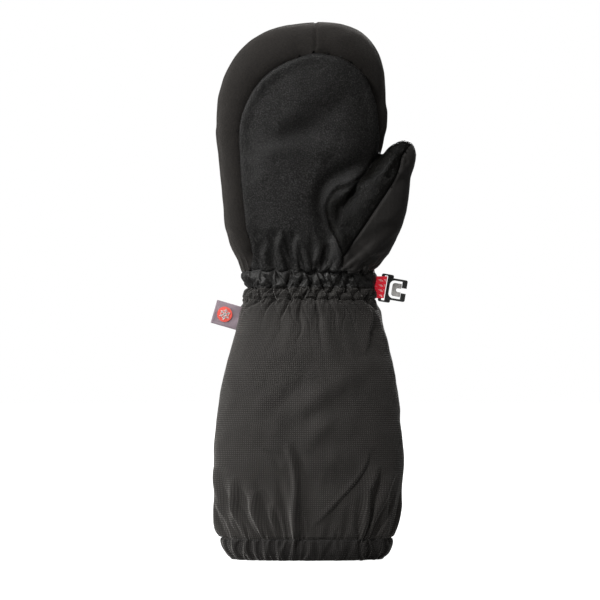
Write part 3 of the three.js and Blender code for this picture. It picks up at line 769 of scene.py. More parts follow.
PALM_EDGE = curve_through([
    (-37.6, 176), (-41, 198), (-44, 223), (-46.3, 249), (-47.2, 270), (-44.6, 285), (-36.5, 301),
    (-23.7, 313), (-6, 320.8), (8.3, 322), (23, 317.5), (33.5, 309), (38.2, 299.5), (41.5, 288),
    (43.5, 270), (45.5, 256), (70, 240), (70, 176),
])
THUMB_EDGE = curve_through([
    (45.5, 266), (39.5, 256), (31.4, 244), (17.3, 237.3), (10.4, 229), (9, 222), (10.9, 213),
    (16.2, 200.5), (18.6, 194), (19.5, 176),
])
THUMB_SEAM = curve_through([
    (66, 268), (60.5, 261.5), (57, 256), (55.5, 249), (50.6, 238.7), (37.8, 219.5), (27.5, 204),
    (21.6, 196.2), (18.4, 190.5),
])
HAND_CREASES = [
    ([(-21, 211), (-25.6, 201), (-23, 190), (-19, 184)], 2.0, 1.5, -1.5),
    ([(-10.5, 209), (-14, 200), (-12.5, 190), (-10, 184)], 2.0, 1.5, -1.5),
    ([(10, 201), (6.5, 193), (1.5, 184)], 2.0, 1.2, 1.0),
    ([(-33, 204), (-34.5, 194), (-32, 184)], 2.0, 1.0, -1.0),
    ([(37, 255), (28, 250.5), (15, 244.5), (7.5, 237), (5.2, 226), (7.5, 213), (11, 203)], 4.6, 3.0, 0),
    ([(34, 250), (26, 240), (22.5, 232), (20, 224), (20, 212)], 4.2, -3.4, 0),
    ([(-36, 258), (-18, 261), (0, 263), (12, 256)], 7, -1.5, 0),
    ([(-21, 273), (-6, 275), (10, 284), (26, 294)], 8.5, 1.7, 0),
    ([(31.4, 243), (24, 234), (18, 223)], 2.2, 0.6, 0.8),
    ([(43, 244), (49, 252), (54.5, 259)], 3.0, -1.4, 0),
    ([(56.5, 257.5), (59.3, 256.5), (60.5, 253.5), (58.5, 252)], 0.9, 0.9, 0),
    ([(46, 186), (33, 189), (24, 195)], 2.0, 1.5, 1.2),
    ([(49, 195), (38, 193), (28, 200)], 1.8, 1.2, 1.0),
    ([(60, 222), (50, 213), (40, 211)], 2.6, 0.9, 0.8),
    ([(62, 246), (56, 242), (51, 236)], 2.0, 0.8, 0.6),
]
PALM_DENTS = [(-1, 270, 19, 9, 2.8), (14, 252, 10, 8, 1.0)]  # x, z, half sizes, depth
CROTCH_DENTS = [(43.5, 260, 4, 4, 0.6), (52, 269, 6, 6, 0.8)]
HAND_BOTTOM = 168  # the hand's shape starts here, and is cut off higher up
VOXEL = 1.7
SEAM_HOLD = 1.6  # the skin is held this near to a seam while it is blown up
HAND_PRESSURE, HAND_FRAMES, MOST_SWELL = 2.5, 20, 2.5


def xz(points):
    """Places as seen from the front."""
    return points[:, [0, 2]]


def thumb_value(points):
    """Negative on the thumb's side of the seam that joins it to the hand."""
    front = -beside(THUMB_EDGE, xz(points))[0]
    behind = -(points - HINGE_AT) @ HINGE_OUT
    mix = smoothstep(-13, -3, points[:, 1])
    return front * (1 - mix) + behind * mix


def padded_mesh(solids, voxel):
    """One evenly meshed skin round overlapping closed surfaces."""
    points, tris, base = [], [], 0
    for solid in solids:
        points.append(solid.points)
        tris.append(solid.tris + base)
        base += len(solid.points)
    piece = Surface(np.concatenate(points), np.concatenate(tris)).mesh("hand_shape")
    remesh = piece.modifiers.new("even", "REMESH")
    remesh.mode = "VOXEL"
    remesh.voxel_size = voxel * MM
    soften = piece.modifiers.new("soften", "SMOOTH")
    soften.factor = 0.5
    soften.iterations = 4
    return consumed(piece)


def closed_tube(place, stations, around):
    """A closed surface through the rings at the given stations."""
    angles = np.linspace(-math.pi, math.pi, around, endpoint=False)
    rings = place(np.array(stations, float)[:, None], angles[None, :])
    tube = grid(rings, rings[..., [0, 2]], closed=True)
    ends = [rings[0].mean(axis=0), rings[-1].mean(axis=0)]
    bottom, top = len(tube.points), len(tube.points) + 1
    j = np.arange(around)
    k = (j + 1) % around
    last = (len(rings) - 1) * around
    bottom_fan = np.stack([np.full(around, bottom), k, j], 1)
    top_fan = np.stack([np.full(around, top), last + j, last + k], 1)
    return Surface(np.concatenate([tube.points, ends]), np.concatenate([tube.tris, bottom_fan, top_fan]))


def hand_folds(points):
    """How far the hand's skin stands out of its smooth shape, for places on that shape."""
    x, y, z = points.T
    place = xz(points)
    front = smoothstep(2, -6, y)
    palm = inside_of(PALM_EDGE, place)
    thumb = thumb_value(points)
    on_hand = smoothstep(-1, 3, thumb)
    seam = beside(THUMB_SEAM, place)[0]
    total = np.zeros(len(points))
    # the strip dips towards the palm's seam, and the leather's edge stands up round and full
    dip = np.where(palm > 0, np.exp(-palm / 4.2), smoothstep(-1.5, 0, palm))
    full = np.where(palm <= 0, bell(-palm - 3.2, 3), 0)
    reach = front * on_hand * smoothstep(186, 196, z)
    bare = 1 - 0.7 * bell(x - 1.5, 6) * (z > 300)  # it lies flatter where the strips meet
    total += reach * (-3.7 * dip * bare + 0.8 * full)
    # side seam between the strips and the back
    side = y - SIDE_SEAM_Y
    total -= 1.1 * on_hand * bell(side, 1.1)
    total += 0.5 * on_hand * bell(np.abs(side) - 3.5, 2.5)
    # the short seam over the fingertips
    top = bell(x - TOP_SEAM_X, 0.9) * (y < SIDE_SEAM_Y) * smoothstep(1.5, 5, palm)
    total -= 0.8 * top * smoothstep(300, 312, z)
    # thumb: its joining seam, its own seam, and the mound of its root
    total -= 1.2 * (1 - mound(x, z, 44.5, 260, 6, 6)) * bell(thumb, 1.0)
    root = smoothstep(190, 205, z) * smoothstep(250, 235, z)
    total += 1.9 * front * bell(thumb + 4, 3.5) * root
    on_thumb = smoothstep(1, -1, thumb)
    total -= 0.9 * front * on_thumb * bell(seam, 0.9) * (1 - smoothstep(258, 265, z))
    # the wrist's gathers run on under it, and its lowest edge goes under the gathered wrist
    up = z - RUCHE_HIGH
    total *= 1 - 0.7 * np.exp(-np.clip(up, 0, None) / 4)
    total -= 1.3 * np.clip(-up, 0, None)
    # soft dents and lumps of the padding
    total += front * creased(place, HAND_CREASES)
    for *oval_at, depth in CROTCH_DENTS:
        total -= depth * mound(x, z, *oval_at)
    for *oval_at, depth in PALM_DENTS:
        total -= depth * front * mound(x, z, *oval_at)
    total += 0.8 * speckle(points, 24, 2) + 0.35 * speckle(points, 10, 6)
    return total


def swell(mesh):
    """How far each vertex of the closed skin moves when it is held at its seams and blown up."""
    shape = surface_of(mesh).points
    place = xz(shape)
    y = shape[:, 1]
    near_palm = (np.abs(inside_of(PALM_EDGE, place)) < SEAM_HOLD) & (y < SIDE_SEAM_Y)
    near_side = np.abs(y - SIDE_SEAM_Y) < SEAM_HOLD
    near_thumb = np.abs(thumb_value(shape)) < SEAM_HOLD
    near_seam = (np.abs(beside(THUMB_SEAM, place)[0]) < SEAM_HOLD) & (y < -8)
    low = shape[:, 2] < RUCHE_HIGH + 3
    held = np.where(near_palm | near_side | near_thumb | near_seam | low, 1.0, 0.0)
    done = run_cloth(add_object("inflating", mesh), held, HAND_FRAMES, HAND_PRESSURE, HAND_CLOTH)
    move = surface_of(done).points - shape
    size = np.linalg.norm(move, axis=1, keepdims=True)
    return move * np.minimum(1, MOST_SWELL / np.maximum(size, 1e-9))


def to_dome(start, straight, end, rows, dome_rows, first, last):
    """Stations in even steps up to where a dome starts, and closer and closer ones up to its tip."""
    steps = np.sin(np.linspace(first, last, dome_rows))
    return np.concatenate([np.linspace(start, straight, rows), straight + (end - straight) * steps])


def hand_surface():
    """The skin of the hand and thumb, blown up, and drawn in with the sleeve's gathers at its lower end."""
    body = closed_tube(body_point, to_dome(HAND_BOTTOM, DOME_Z, TIP_Z, 60, 34, 0.03, 1.55), 120)
    length = np.linalg.norm(THUMB_TIP - THUMB_ROOT)
    thumb = closed_tube(thumb_point, to_dome(-12, THUMB_DOME, length, 44, 16, 0.05, 1.54), 64)
    mesh = padded_mesh([body, thumb], VOXEL)
    move = swell(mesh)
    offset = mesh.attributes.new("move", "FLOAT_VECTOR", "POINT")
    offset.data.foreach_set("vector", move.astype(np.float32).ravel())
    carrier = add_object("carrier", mesh)
    finer = carrier.modifiers.new("finer", "SUBSURF")
    finer.levels = 1
    finer.render_levels = 1
    fine = consumed(carrier)
    moved = np.zeros(len(fine.vertices) * 3, np.float32)
    fine.attributes["move"].data.foreach_get("vector", moved)
    skin = surface_of(fine)
    skin.points = skin.points + moved.reshape(-1, 3)
    skin = skin.cut(skin.flat[:, 2] - RUCHE_HIGH + UNDER)[1]
    drawn = sleeve_move(turn_of(skin.flat), skin.flat[:, 2])
    skin.points = skin.points + drawn * smoothstep(SLEEVE_TOP, SLEEVE_TOP - 8, skin.flat[:, 2])[:, None]
    return skin


def folded(part):
    """A cut part of the hand's skin with its folds, and with the thumb's root drawn in to the wrist."""
    x, _, z = part.flat.T
    part.push(hand_folds(part.flat) + wrist_relief(turn_of(part.flat), z))
    part.points[:, 0] -= 5.5 * smoothstep(32, 46, x) * smoothstep(198, 183, z)
    return part


# ------------------------ materials


class Look:
    """A procedural material, built up by short calls."""

    def __init__(self, name, colour, roughness, specular=0.25, sheen=0.0):
        self.material = bpy.data.materials.new(name)
        self.material.use_nodes = True
        self.tree = self.material.node_tree
        self.shader = self.tree.nodes["Principled BSDF"]
        self.colour = colour
        self.last_bump = None
        self.set("Base Color", (*colour, 1))
        self.set("Roughness", roughness)
        self.set("Specular IOR Level", specular)
        self.set("Sheen Weight", sheen)

    def set(self, name, value):
        """Gives an input of the shader a value, or links another node's output to it."""
        self.fill(self.shader.inputs[name], value)

    def fill(self, socket, value):
        if isinstance(value, bpy.types.NodeSocket):
            self.tree.links.new(value, socket)
        else:
            socket.default_value = value

    def node(self, kind, inputs, **settings):
        """A new node with its settings and with its inputs, which are values or other nodes' outputs."""
        made = self.tree.nodes.new(kind)
        for key, value in settings.items():
            setattr(made, key, value)
        for key, value in inputs.items():
            self.fill(made.inputs[key], value)
        return made

    def nap(self, roughness, tint):
        """How the sheen of a fibrous cloth looks."""
        self.set("Sheen Roughness", roughness)
        self.set("Sheen Tint", (*tint, 1))

    def place(self, flat=True):
        """Coordinates in metres that stay with the cloth: where the cloth lay flat, or the object's own."""
        if flat:
            return self.node("ShaderNodeAttribute", {}, attribute_name="flat").outputs["Vector"]
        return self.node("ShaderNodeTexCoord", {}).outputs["Object"]

    def height(self):
        """Metres above the floor, where the cloth lay flat."""
        return self.node("ShaderNodeSeparateXYZ", {0: self.place()}).outputs["Z"]

    def uv(self):
        return self.node("ShaderNodeUVMap", {}, uv_map="weave").outputs["UV"]

    def noise(self, where, scale, detail=3, rough=0.55):
        inputs = {"Scale": scale, "Detail": detail, "Roughness": rough, "Vector": where}
        return self.node("ShaderNodeTexNoise", inputs).outputs["Fac"]

    def cells(self, where, scale):
        """Distance from the edges of irregular cells."""
        inputs = {"Scale": scale, "Randomness": 1.0, "Vector": where}
        return self.node("ShaderNodeTexVoronoi", inputs, feature="DISTANCE_TO_EDGE").outputs["Distance"]

    def waves(self, where, scale, direction):
        inputs = {"Scale": scale, "Distortion": 0.0, "Vector": where}
        settings = {"wave_type": "BANDS", "wave_profile": "SIN", "bands_direction": direction}
        return self.node("ShaderNodeTexWave", inputs, **settings).outputs["Fac"]

    def math(self, operation, a, b):
        return self.node("ShaderNodeMath", {0: a, 1: b}, operation=operation).outputs[0]

    def weigh(self, *terms):
        """The sum of the values, each times its weight."""
        total, *others = [self.math("MULTIPLY", value, weight) for value, weight in terms]
        for other in others:
            total = self.math("ADD", total, other)
        return total

    def grid(self, where, scale, across, up):
        """Two crossed sets of waves."""
        return self.math("MULTIPLY", self.waves(where, scale, across), self.waves(where, scale, up))

    def remap(self, value, low, high, to_low, to_high):
        inputs = {"From Min": low, "From Max": high, "To Min": to_low, "To Max": to_high, "Value": value}
        return self.node("ShaderNodeMapRange", inputs).outputs["Result"]

    def blend(self, value, colour, other):
        """The base colour goes from one colour to the other as value goes from 0 to 1."""
        mix = self.node("ShaderNodeMix", {"A": colour, "B": (*other, 1), "Factor": value}, data_type="RGBA")
        self.set("Base Color", mix.outputs["Result"])

    def shade(self, value, dark, light):
        """The base colour goes from dark to light times itself."""
        self.blend(value, (*[c * dark for c in self.colour], 1), [c * light for c in self.colour])

    def tint(self, value, other):
        """Mixes another colour over the shaded base colour."""
        self.blend(value, self.shader.inputs["Base Color"].links[0].from_socket, other)

    def rough(self, value, low, high):
        self.set("Roughness", self.remap(value, 0, 1, low, high))

    def bump(self, value, depth, strength=1.0):
        """Adds relief: value from 0 to 1 is depth metres high."""
        inputs = {"Strength": strength, "Distance": depth, "Height": value}
        if self.last_bump:
            inputs["Normal"] = self.last_bump
        self.last_bump = self.node("ShaderNodeBump", inputs).outputs["Normal"]
        self.set("Normal", self.last_bump)


def leather_look(name, colour, specular, polish=0.0):
    """Pebbled leather: light pebbles with dark creases between them, smoother above the thumb's middle."""
    look = Look(name, colour, 0.5, specular=specular)
    at = look.place()
    pebbles = look.remap(look.cells(at, 800), 0.0, 0.22, 0, 1)
    uneven = look.remap(look.noise(at, 1150, 2, 0.6), 0.38, 0.62, 0, 1)
    soft = look.noise(at, 60, 4)
    grain = look.math("MULTIPLY", pebbles, uneven)
    look.shade(grain, 0.1, 3.3)
    worn = look.remap(look.height(), 0.225, 0.256, 0, -polish)
    uneven_gloss = look.math("ADD", look.math("MULTIPLY", uneven, -0.4), soft)
    look.rough(look.math("ADD", uneven_gloss, worn), 0.44 - 0.1 * polish, 0.74)
    look.bump(grain, 0.00025, 0.8)
    return look.material


def softshell_look(name, colour):
    """Brushed cloth: fine fibres over a faint mottle."""
    look = Look(name, colour, 0.9, specular=0.12, sheen=0.16)
    look.nap(0.5, (0.8, 0.76, 0.72))
    at = look.place()
    fibre = look.remap(look.noise(at, 1100, 3, 0.75), 0.3, 0.7, 0, 1)
    mottle = look.noise(at, 190, 4)
    look.shade(look.weigh((fibre, 0.7), (mottle, 0.3)), 0.2, 1.9)
    look.rough(mottle, 0.8, 1.0)
    look.bump(fibre, 0.0002, 0.7)
    return look.material


def nylon_look(name, colour):
    """A fine plain weave with small rumples."""
    look = Look(name, colour, 0.7, specular=0.2, sheen=0.1)
    at = look.place()
    weave = look.grid(at, 380, "X", "Z")
    mottle = look.noise(at, 120, 4)
    look.shade(look.weigh((weave, 0.5), (mottle, 0.6)), 0.6, 1.4)
    look.rough(mottle, 0.6, 0.85)
    look.bump(weave, 0.0002, 0.5)
    look.bump(look.noise(at, 260, 4), 0.0006, 0.4)
    return look.material


GRID_PITCH = 0.0013  # metres


def weave_look(name, colour, gathered=None):
    """The gauntlet's cloth: a plain weave with a raised grid, darkened towards the wrist by painted shade."""
    look = Look(name, colour, 0.75, specular=0.22, sheen=0.35)
    look.nap(0.4, (0.85, 0.83, 0.8))
    at = look.uv()
    scale = 1 / (GRID_PITCH * 20) * 6.2832  # a wave texture repeats every 2*pi/20 over its scale
    dots = look.grid(at, scale, "X", "Y")
    fine = look.noise(at, 1800, 3)
    mottle = look.noise(at, 45, 4)
    look.shade(look.weigh((dots, 0.6), (mottle, 0.35), (fine, 0.3)), 0.3, 1.9)
    if gathered:  # painted shade: darker towards the wrist, where the gathers shade the cloth
        uneven = look.math("MULTIPLY", look.noise(look.place(), 110, 2), 0.014)
        near = look.remap(look.math("ADD", look.height(), uneven), 0.156, 0.174, 0, 0.75)
        look.tint(near, gathered)
    look.rough(fine, 0.62, 0.85)
    look.bump(dots, 0.00035, 0.9)
    look.bump(fine, 0.0001, 0.5)
    return look.material


def plain_cloth_look(name, colour, scale, roughness):
    """A plain weave of threads at the given scale."""
    look = Look(name, colour, roughness, specular=0.15, sheen=0.15)
    at = look.place(False)
    weave = look.grid(at, scale, "X", "Z")
    mottle = look.noise(at, 90, 4)
    look.shade(look.weigh((weave, 0.4), (mottle, 0.6)), 0.6, 1.4)
    look.rough(mottle, roughness - 0.1, min(1, roughness + 0.1))
    look.bump(weave, 0.00015, 0.6)
    look.bump(look.noise(at, 300, 4), 0.0005, 0.5)
    return look.material


def plastic_look(name, colour, roughness):
    """Moulded plastic with a very fine grain."""
    look = Look(name, colour, roughness, specular=0.5)
    at = look.place(False)
    mottle = look.noise(at, 400, 4)
    look.shade(mottle, 0.85, 1.15)
    look.rough(mottle, roughness - 0.08, roughness + 0.1)
    look.bump(look.noise(at, 4000, 2), 0.00003, 0.6)
    return look.material


def webbing_look(name, colour, mark_colour):
    """Ribbed webbing with a woven pattern of short slanting marks in rows."""
    look = Look(name, colour, 0.75, specular=0.2, sheen=0.15)
    look.set("Emission Color", (*colour, 1))  # painted glow: the webbing gives off a little red light of its own, so that it looks brightly lit
    look.set("Emission Strength", 0.3)
    at = look.place(False)
    ribs = look.waves(at, 420, "X")
    rows = look.math("GREATER_THAN", look.waves(at, 96, "Z"), 0.6)
    ticks = look.math("GREATER_THAN", look.waves(at, 190, "DIAGONAL"), 0.55)
    look.shade(look.math("ADD", look.math("MULTIPLY", ribs, 0.6), look.noise(at, 500, 3)), 0.75, 1.1)
    look.tint(look.math("MULTIPLY", rows, ticks), mark_colour)
    look.rough(ribs, 0.65, 0.85)
    look.bump(ribs, 0.00025, 0.8)
    return look.material


# painted shade: the colour that the gauntlet's cloth darkens to towards the wrist
WRIST_PAINTED_SHADE = (0.009, 0.0083, 0.0075)
MAKERS = {  # each look's maker, and the material's name, its colour and what else the maker takes
    "palm_leather": (leather_look, "palm_leather_grain", (0.0062, 0.0061, 0.0059), 0.2),
    # painted shade: the palm's leather at about a third of its colour, standing for the shade on the thumb
    "thumb_leather": (leather_look, "thumb_leather_grain", (0.0019, 0.0018, 0.0015), 0.075, 0.8),
    # painted light: the palm's leather made a little lighter, standing for the light on the wrist's puffs
    "wrist_leather": (leather_look, "wrist_leather_grain", (0.0075, 0.0074, 0.007), 0.36),
    "softshell": (softshell_look, "softshell_brushed", (0.0084, 0.0074, 0.0067)),
    "thumb_nylon": (nylon_look, "thumb_nylon_weave", (0.0088, 0.0078, 0.007)),
    "gauntlet_weave": (weave_look, "gauntlet_grid_weave", (0.0217, 0.02, 0.0185), WRIST_PAINTED_SHADE),
    # painted shade: the gauntlet's cloth at about half its colour, standing for the shade low down on the hem
    "hem_weave": (weave_look, "hem_grid_weave", (0.0115, 0.0105, 0.0099)),
    # painted shade: the gauntlet's cloth at under half its colour, standing for the shade between the lower wrist
    # row's puffs
    "wrist_weave": (weave_look, "wrist_grid_weave", (0.0095, 0.0088, 0.0079)),
    "insulation": (plain_cloth_look, "insulation_fibre", (0.8, 0.78, 0.74), 300, 0.95),
    "membrane": (plain_cloth_look, "membrane_film", (0.66, 0.7, 0.72), 900, 0.6),
    "fleece": (plain_cloth_look, "fleece_nap", (0.02, 0.02, 0.022), 500, 0.97),
    "taffeta": (plain_cloth_look, "taffeta_lining", (0.016, 0.016, 0.017), 1100, 0.6),
    "elastic": (plain_cloth_look, "elastic_rib", (0.01, 0.01, 0.01), 900, 0.9),
    "thread": (plain_cloth_look, "stitch_thread", (0.008, 0.008, 0.008), 2500, 0.6),
    "red_webbing": (webbing_look, "webbing_red", (0.95, 0.03, 0.055), (0.95, 0.85, 0.85)),
    "clip_plastic": (plastic_look, "clip_moulded", (0.016, 0.018, 0.018), 0.3),
    # painted reflection: the tongue's light grey stands for light reflected off its slope
    "tongue_plastic": (plastic_look, "tongue_moulded", (0.55, 0.54, 0.53), 0.4),
    "white_thread": (plain_cloth_look, "white_thread", (0.75, 0.72, 0.7), 2500, 0.7),
    "label_ribbon": (plain_cloth_look, "label_satin", (0.3, 0.24, 0.275), 1500, 0.7),
    "label_print": (plain_cloth_look, "label_print_red", (0.92, 0.13, 0.1), 1500, 0.75),
}
LOOKS = {name: maker(*values) for name, (maker, *values) in MAKERS.items()}


def wear(piece, look):
    piece.data.materials.clear()
    piece.data.materials.append(LOOKS[look])


# ------------------------ pieces


SEAM_TUCK = 1.6  # how far a piece's cut edges are turned in


def make(surface, name, look, replaces):
    """A cut piece of cloth as an object that stands for its CAD nodes."""
    piece = surface.tuck(SEAM_TUCK).mesh(name)
    wear(piece, look)
    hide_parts(*replaces)
    return piece


def sleeve_pieces():
    """The sleeve, cut along its seams."""
    whole = sleeve_surface()
    hem, rest = whole.cut(whole.flat[:, 2] - HEM_SEAM)
    panels, wrist = rest.cut(rest.flat[:, 2] - RUCHE_LOW)
    front, back = panels.cut(panels.flat[:, 1])
    lower, upper = wrist.cut(wrist.flat[:, 2] - WRIST_SEAM)
    for surface, name, look, slot, node, fill in (
        (hem, "hem_cover", "hem_weave", "gauntlet_weave", "hem_casing", 0.3),
        (front, "gauntlet_front", "gauntlet_weave", "gauntlet_weave", "gauntlet_front_panel", 0.2),
        (back, "gauntlet_back", "gauntlet_weave", "gauntlet_weave", "gauntlet_back_panel", 0.2),
    ):
        piece = make(surface, name, look, [node])
        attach(piece, "gauntlet")
    upper.push(0.7 * np.exp(-np.abs(upper.flat[:, 2] - WRIST_SEAM) / 1.5))
    for surface, name, look, slot, node in (
        (lower, "wrist_gathers_lower", "wrist_weave", "gauntlet_weave", "wrist_ruche_lower"),
        (upper, "wrist_gathers_upper", "wrist_leather", "palm_leather", "wrist_ruche_upper"),
    ):
        piece = make(surface, name, look, [node])
        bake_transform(piece)


def hand_pieces():
    """The hand and thumb, cut along their seams and then folded."""
    skin = hand_surface()
    thumb, hand = skin.cut(thumb_value(skin.flat))
    front, back = hand.cut(hand.flat[:, 1] - SIDE_SEAM_Y)
    palm, strips = front.cut(inside_of(PALM_EDGE, xz(front.flat)))
    outer, inner = strips.cut(strips.flat[:, 0] - TOP_SEAM_X)
    leather_line = beside(THUMB_SEAM, xz(thumb.flat))[0]
    nylon_side = np.maximum(leather_line, thumb.flat[:, 1] + 8 - 16 * smoothstep(-4, -14, leather_line))
    leather, nylon = thumb.cut(nylon_side)
    palm, outer, inner, back, leather, nylon = map(folded, (palm, outer, inner, back, leather, nylon))
    edge = inside_of(PALM_EDGE, xz(palm.flat))  # the leather's turned edge lies on top of the strips
    palm.push(0.5 * np.exp(edge / 5) * smoothstep(186, 200, palm.flat[:, 2]))
    for surface, name, look, slot, *nodes in (
        (palm, "palm_leather", "palm_leather", "palm_leather", "palm_leather_panel", "palm_insulation"),
        (outer, "finger_strip_outer_skin", "softshell", "softshell", "finger_strip_outer"),
        (inner, "finger_strip_inner_skin", "softshell", "softshell", "finger_strip_inner"),
        (back, "back_of_hand", "softshell", "softshell", "back_of_hand_panel", "back_insulation"),
        (leather, "thumb_leather", "thumb_leather", "palm_leather", "thumb_leather_panel", "thumb_gusset"),
        (nylon, "thumb_nylon", "thumb_nylon", "softshell", "thumb_back_panel", "thumb_insulation"),
    ):
        piece = make(surface, name, look, nodes)
        if surface in (leather, nylon):
            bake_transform(piece)
        else:
            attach(piece, "hand")


def frame_looks():
    """Every CAD node keeps its shape, unless a piece stands for it, and gets its material."""
    slot_of = {entry["node"]: entry["material_slot"] for entry in frame["record"]["subparts"]}
    for name, node in frame["nodes"].items():
        for slot in node.material_slots:
            slot.link = "DATA"
        wear(node, slot_of[name])


def sleeve_line(z, lift):
    """A closed line round the sleeve's outside at a height, a little way out of its cloth."""
    turn = np.linspace(0, 1, 1400, endpoint=False)
    points = body_point(z, np.interp(turn, np.append(TURN, 1), np.append(ANGLES, math.pi)))
    out = outward(points)
    heights = np.full(len(turn), float(z))
    relief = wrist_relief(turn, heights) + (gauntlet_relief(turn, points) if z < RUCHE_LOW else 0)
    return points + sleeve_move(turn, heights) + out * (relief + lift)[:, None], out


STITCH_PITCH, STITCH_LENGTH, STITCH_THICK = 2.6, 1.9, 0.55
STITCH_RINGS = ((-0.5, 0.45, -0.35), (0, 1, 0), (0.5, 0.45, -0.35))  # place along it, size, lift


def stitches(name, line, out):
    """A row of short raised stitches along a line, as one mesh. Each dips and thins at its ends."""
    steps = np.linalg.norm(np.diff(line, axis=0), axis=1)
    run = np.concatenate([[0], np.cumsum(steps)])
    centres = np.arange(STITCH_PITCH / 2, run[-1], STITCH_PITCH)

    def sample(places, values):
        return np.stack([np.interp(places, run, column) for column in values.T], 1)

    middles = [sample(centres + at * STITCH_LENGTH, line) for at, _, _ in STITCH_RINGS]
    up = sample(centres, out)
    across = unit(np.cross(middles[-1] - middles[0], up))
    rings = []
    for middle, (_, size, lift) in zip(middles, STITCH_RINGS):
        lifted = lift * STITCH_THICK * up
        for a, b in ((1, 0), (0, 1), (-1, 0), (0, -1)):
            rings.append(middle + STITCH_THICK / 2 * size * (a * across + b * up) + lifted)
    points = np.stack(rings, 1)  # one stitch is 12 points: three rings of four
    faces = []
    for ring in (0, 4):
        for k in range(4):
            a, b = ring + k, ring + (k + 1) % 4
            faces += [(a, b, b + 4), (a, b + 4, a + 4)]
    faces += [(2, 1, 0), (3, 2, 0), (8, 9, 10), (8, 10, 11)]
    count = np.arange(len(centres))[:, None, None] * 12
    tris = (np.array(faces)[None] + count).reshape(-1, 3)
    piece = Surface(points.reshape(-1, 3), tris).mesh(name)
    wear(piece, "thread")
    return piece


def stitch_rows():
    """The stitches along the hem's seam and along the top of the wrist."""
    for name, z, body in (
        ("hem_stitches", HEM_SEAM - 0.9, "gauntlet"),
        ("wrist_stitches_high", RUCHE_HIGH - 0.6, "hand"),
    ):
        line, out = sleeve_line(z, 0.1)
        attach(stitches(name, line, out), body)


def label_frame():
    """The label's root, its direction along the root and out of the seam, and the print's middle."""
    joint = next(j for j in frame["joints"] if j["name"] == "label_flex")
    up = np.array(joint["axis"], float)
    up *= np.sign(up[2])
    out = np.cross(up, [0, 1, 0])
    out *= -np.sign(out[0])
    low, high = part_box("label_print")
    return np.array(joint["pos_m"]) / MM, up, out, np.array((low + high) / 2) / MM


LABEL_HALF_WIDTH = 7.6
LABEL_REACH = 16.9  # from the seam to the fold
LABEL_SEWN_IN = 3.0  # at each end of the ribbon
LABEL_THICKNESS = 0.9  # both layers and the air between them
LABEL_FOLD = 0.5  # how far the fold bulges


def label_ribbon(root, up, out):
    """The folded ribbon: it goes out from the seam, turns round, and comes back behind itself."""
    leave = np.linspace(-LABEL_SEWN_IN, LABEL_REACH - LABEL_FOLD, 24)
    round_fold = np.linspace(0.4, math.pi - 0.4, 5)
    d = np.concatenate([leave, LABEL_REACH - LABEL_FOLD + LABEL_FOLD * np.sin(round_fold), leave[::-1]])
    sign = np.concatenate([-np.ones(24), -np.cos(round_fold), np.ones(24)])
    d, w = np.meshgrid(d, np.linspace(-LABEL_HALF_WIDTH, LABEL_HALF_WIDTH, 25), indexing="ij")
    y = np.broadcast_to(sign[:, None] * LABEL_THICKNESS / 2, d.shape)
    points = root + d[..., None] * out + w[..., None] * up + y[..., None] * np.array([0, 1, 0])
    under_print = mound(d, w, 9, 0, 6, 6)  # it is flat there, and waves a little elsewhere
    points[..., 1] += (1 - under_print) * 0.25 * np.sin(0.5 * w + 0.3 * d)
    sheet = grid(points, np.stack([d, w], -1), closed=False).mesh("label_fold")
    sheet.modifiers.new("thick", "SOLIDIFY").thickness = 0.25 * MM
    ribbon = add_object("label_fold", consumed(sheet))
    wear(ribbon, "label_ribbon")
    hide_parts("label_ribbon")
    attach(ribbon, "label")


ARM, ARM_HALF = 3.6, 0.32  # the snowflake's arms and their barbs: length and half width
BARB_AT, BARB, BARB_HALF = 1.9, 1.25, 0.26
FLAKE_HEIGHT = 0.22
BAR_FACES = [(0, 1, 2, 3), (7, 6, 5, 4), (0, 4, 5, 1), (1, 5, 6, 2), (2, 6, 7, 3), (3, 7, 4, 0)]


def label_snowflake(middle, up, out):
    """A six-armed snowflake of raised bars."""
    bars = []
    for angle in np.arange(6) * math.pi / 3:
        arm = math.cos(angle) * up + math.sin(angle) * out
        side = -math.sin(angle) * up + math.cos(angle) * out
        bars.append((0 * arm, ARM * arm, ARM_HALF))
        for turn in (1, -1):
            barb = 0.5 * arm + turn * 0.87 * side
            bars.append((BARB_AT * arm, BARB_AT * arm + BARB * barb, BARB_HALF))
    points, tris = [], []
    for start, end, half in bars:
        wide = np.cross(unit(end - start), [0, 1, 0]) * half
        base = len(points)
        outline = ((start, -wide), (start, wide), (end, wide), (end, -wide))
        corners = [middle + at + side for at, side in outline]
        points += [corner - [0, depth, 0] for depth in (0, FLAKE_HEIGHT) for corner in corners]
        for a, b, c, d in base + np.array(BAR_FACES):
            tris += [(a, b, c), (a, c, d)]
    flake = Surface(np.array(points), tris).mesh("label_snowflake")
    flake.data.polygons.foreach_set("use_smooth", np.zeros(len(flake.data.polygons), bool))
    wear(flake, "white_thread")
    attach(flake, "label")


def label_pieces():
    """The label's ribbon, and the white snowflake on its red print."""
    root, up, out, print_at = label_frame()
    label_ribbon(root, up, out)
    label_snowflake(print_at - [0, 0.25, 0], up, out)


def soft_layers():
    """Inner layers that cross a joint, as copies of their CAD nodes' shapes in their materials."""
    wrist, thumb = ("gauntlet", "hand", WRIST_BEND), ("hand", "thumb", THUMB_BEND)
    for node, slot, (a, b, bend) in (
        ("wrist_elastic", "elastic", wrist),
        ("wrist_lining", "taffeta", wrist),
        ("thumb_membrane", "membrane", thumb),
        ("thumb_lining", "fleece", thumb),
    ):
        piece = add_object(node + "_soft", frame["nodes"][node].data.copy())
        wear(piece, slot)
        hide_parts(node)
        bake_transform(piece)


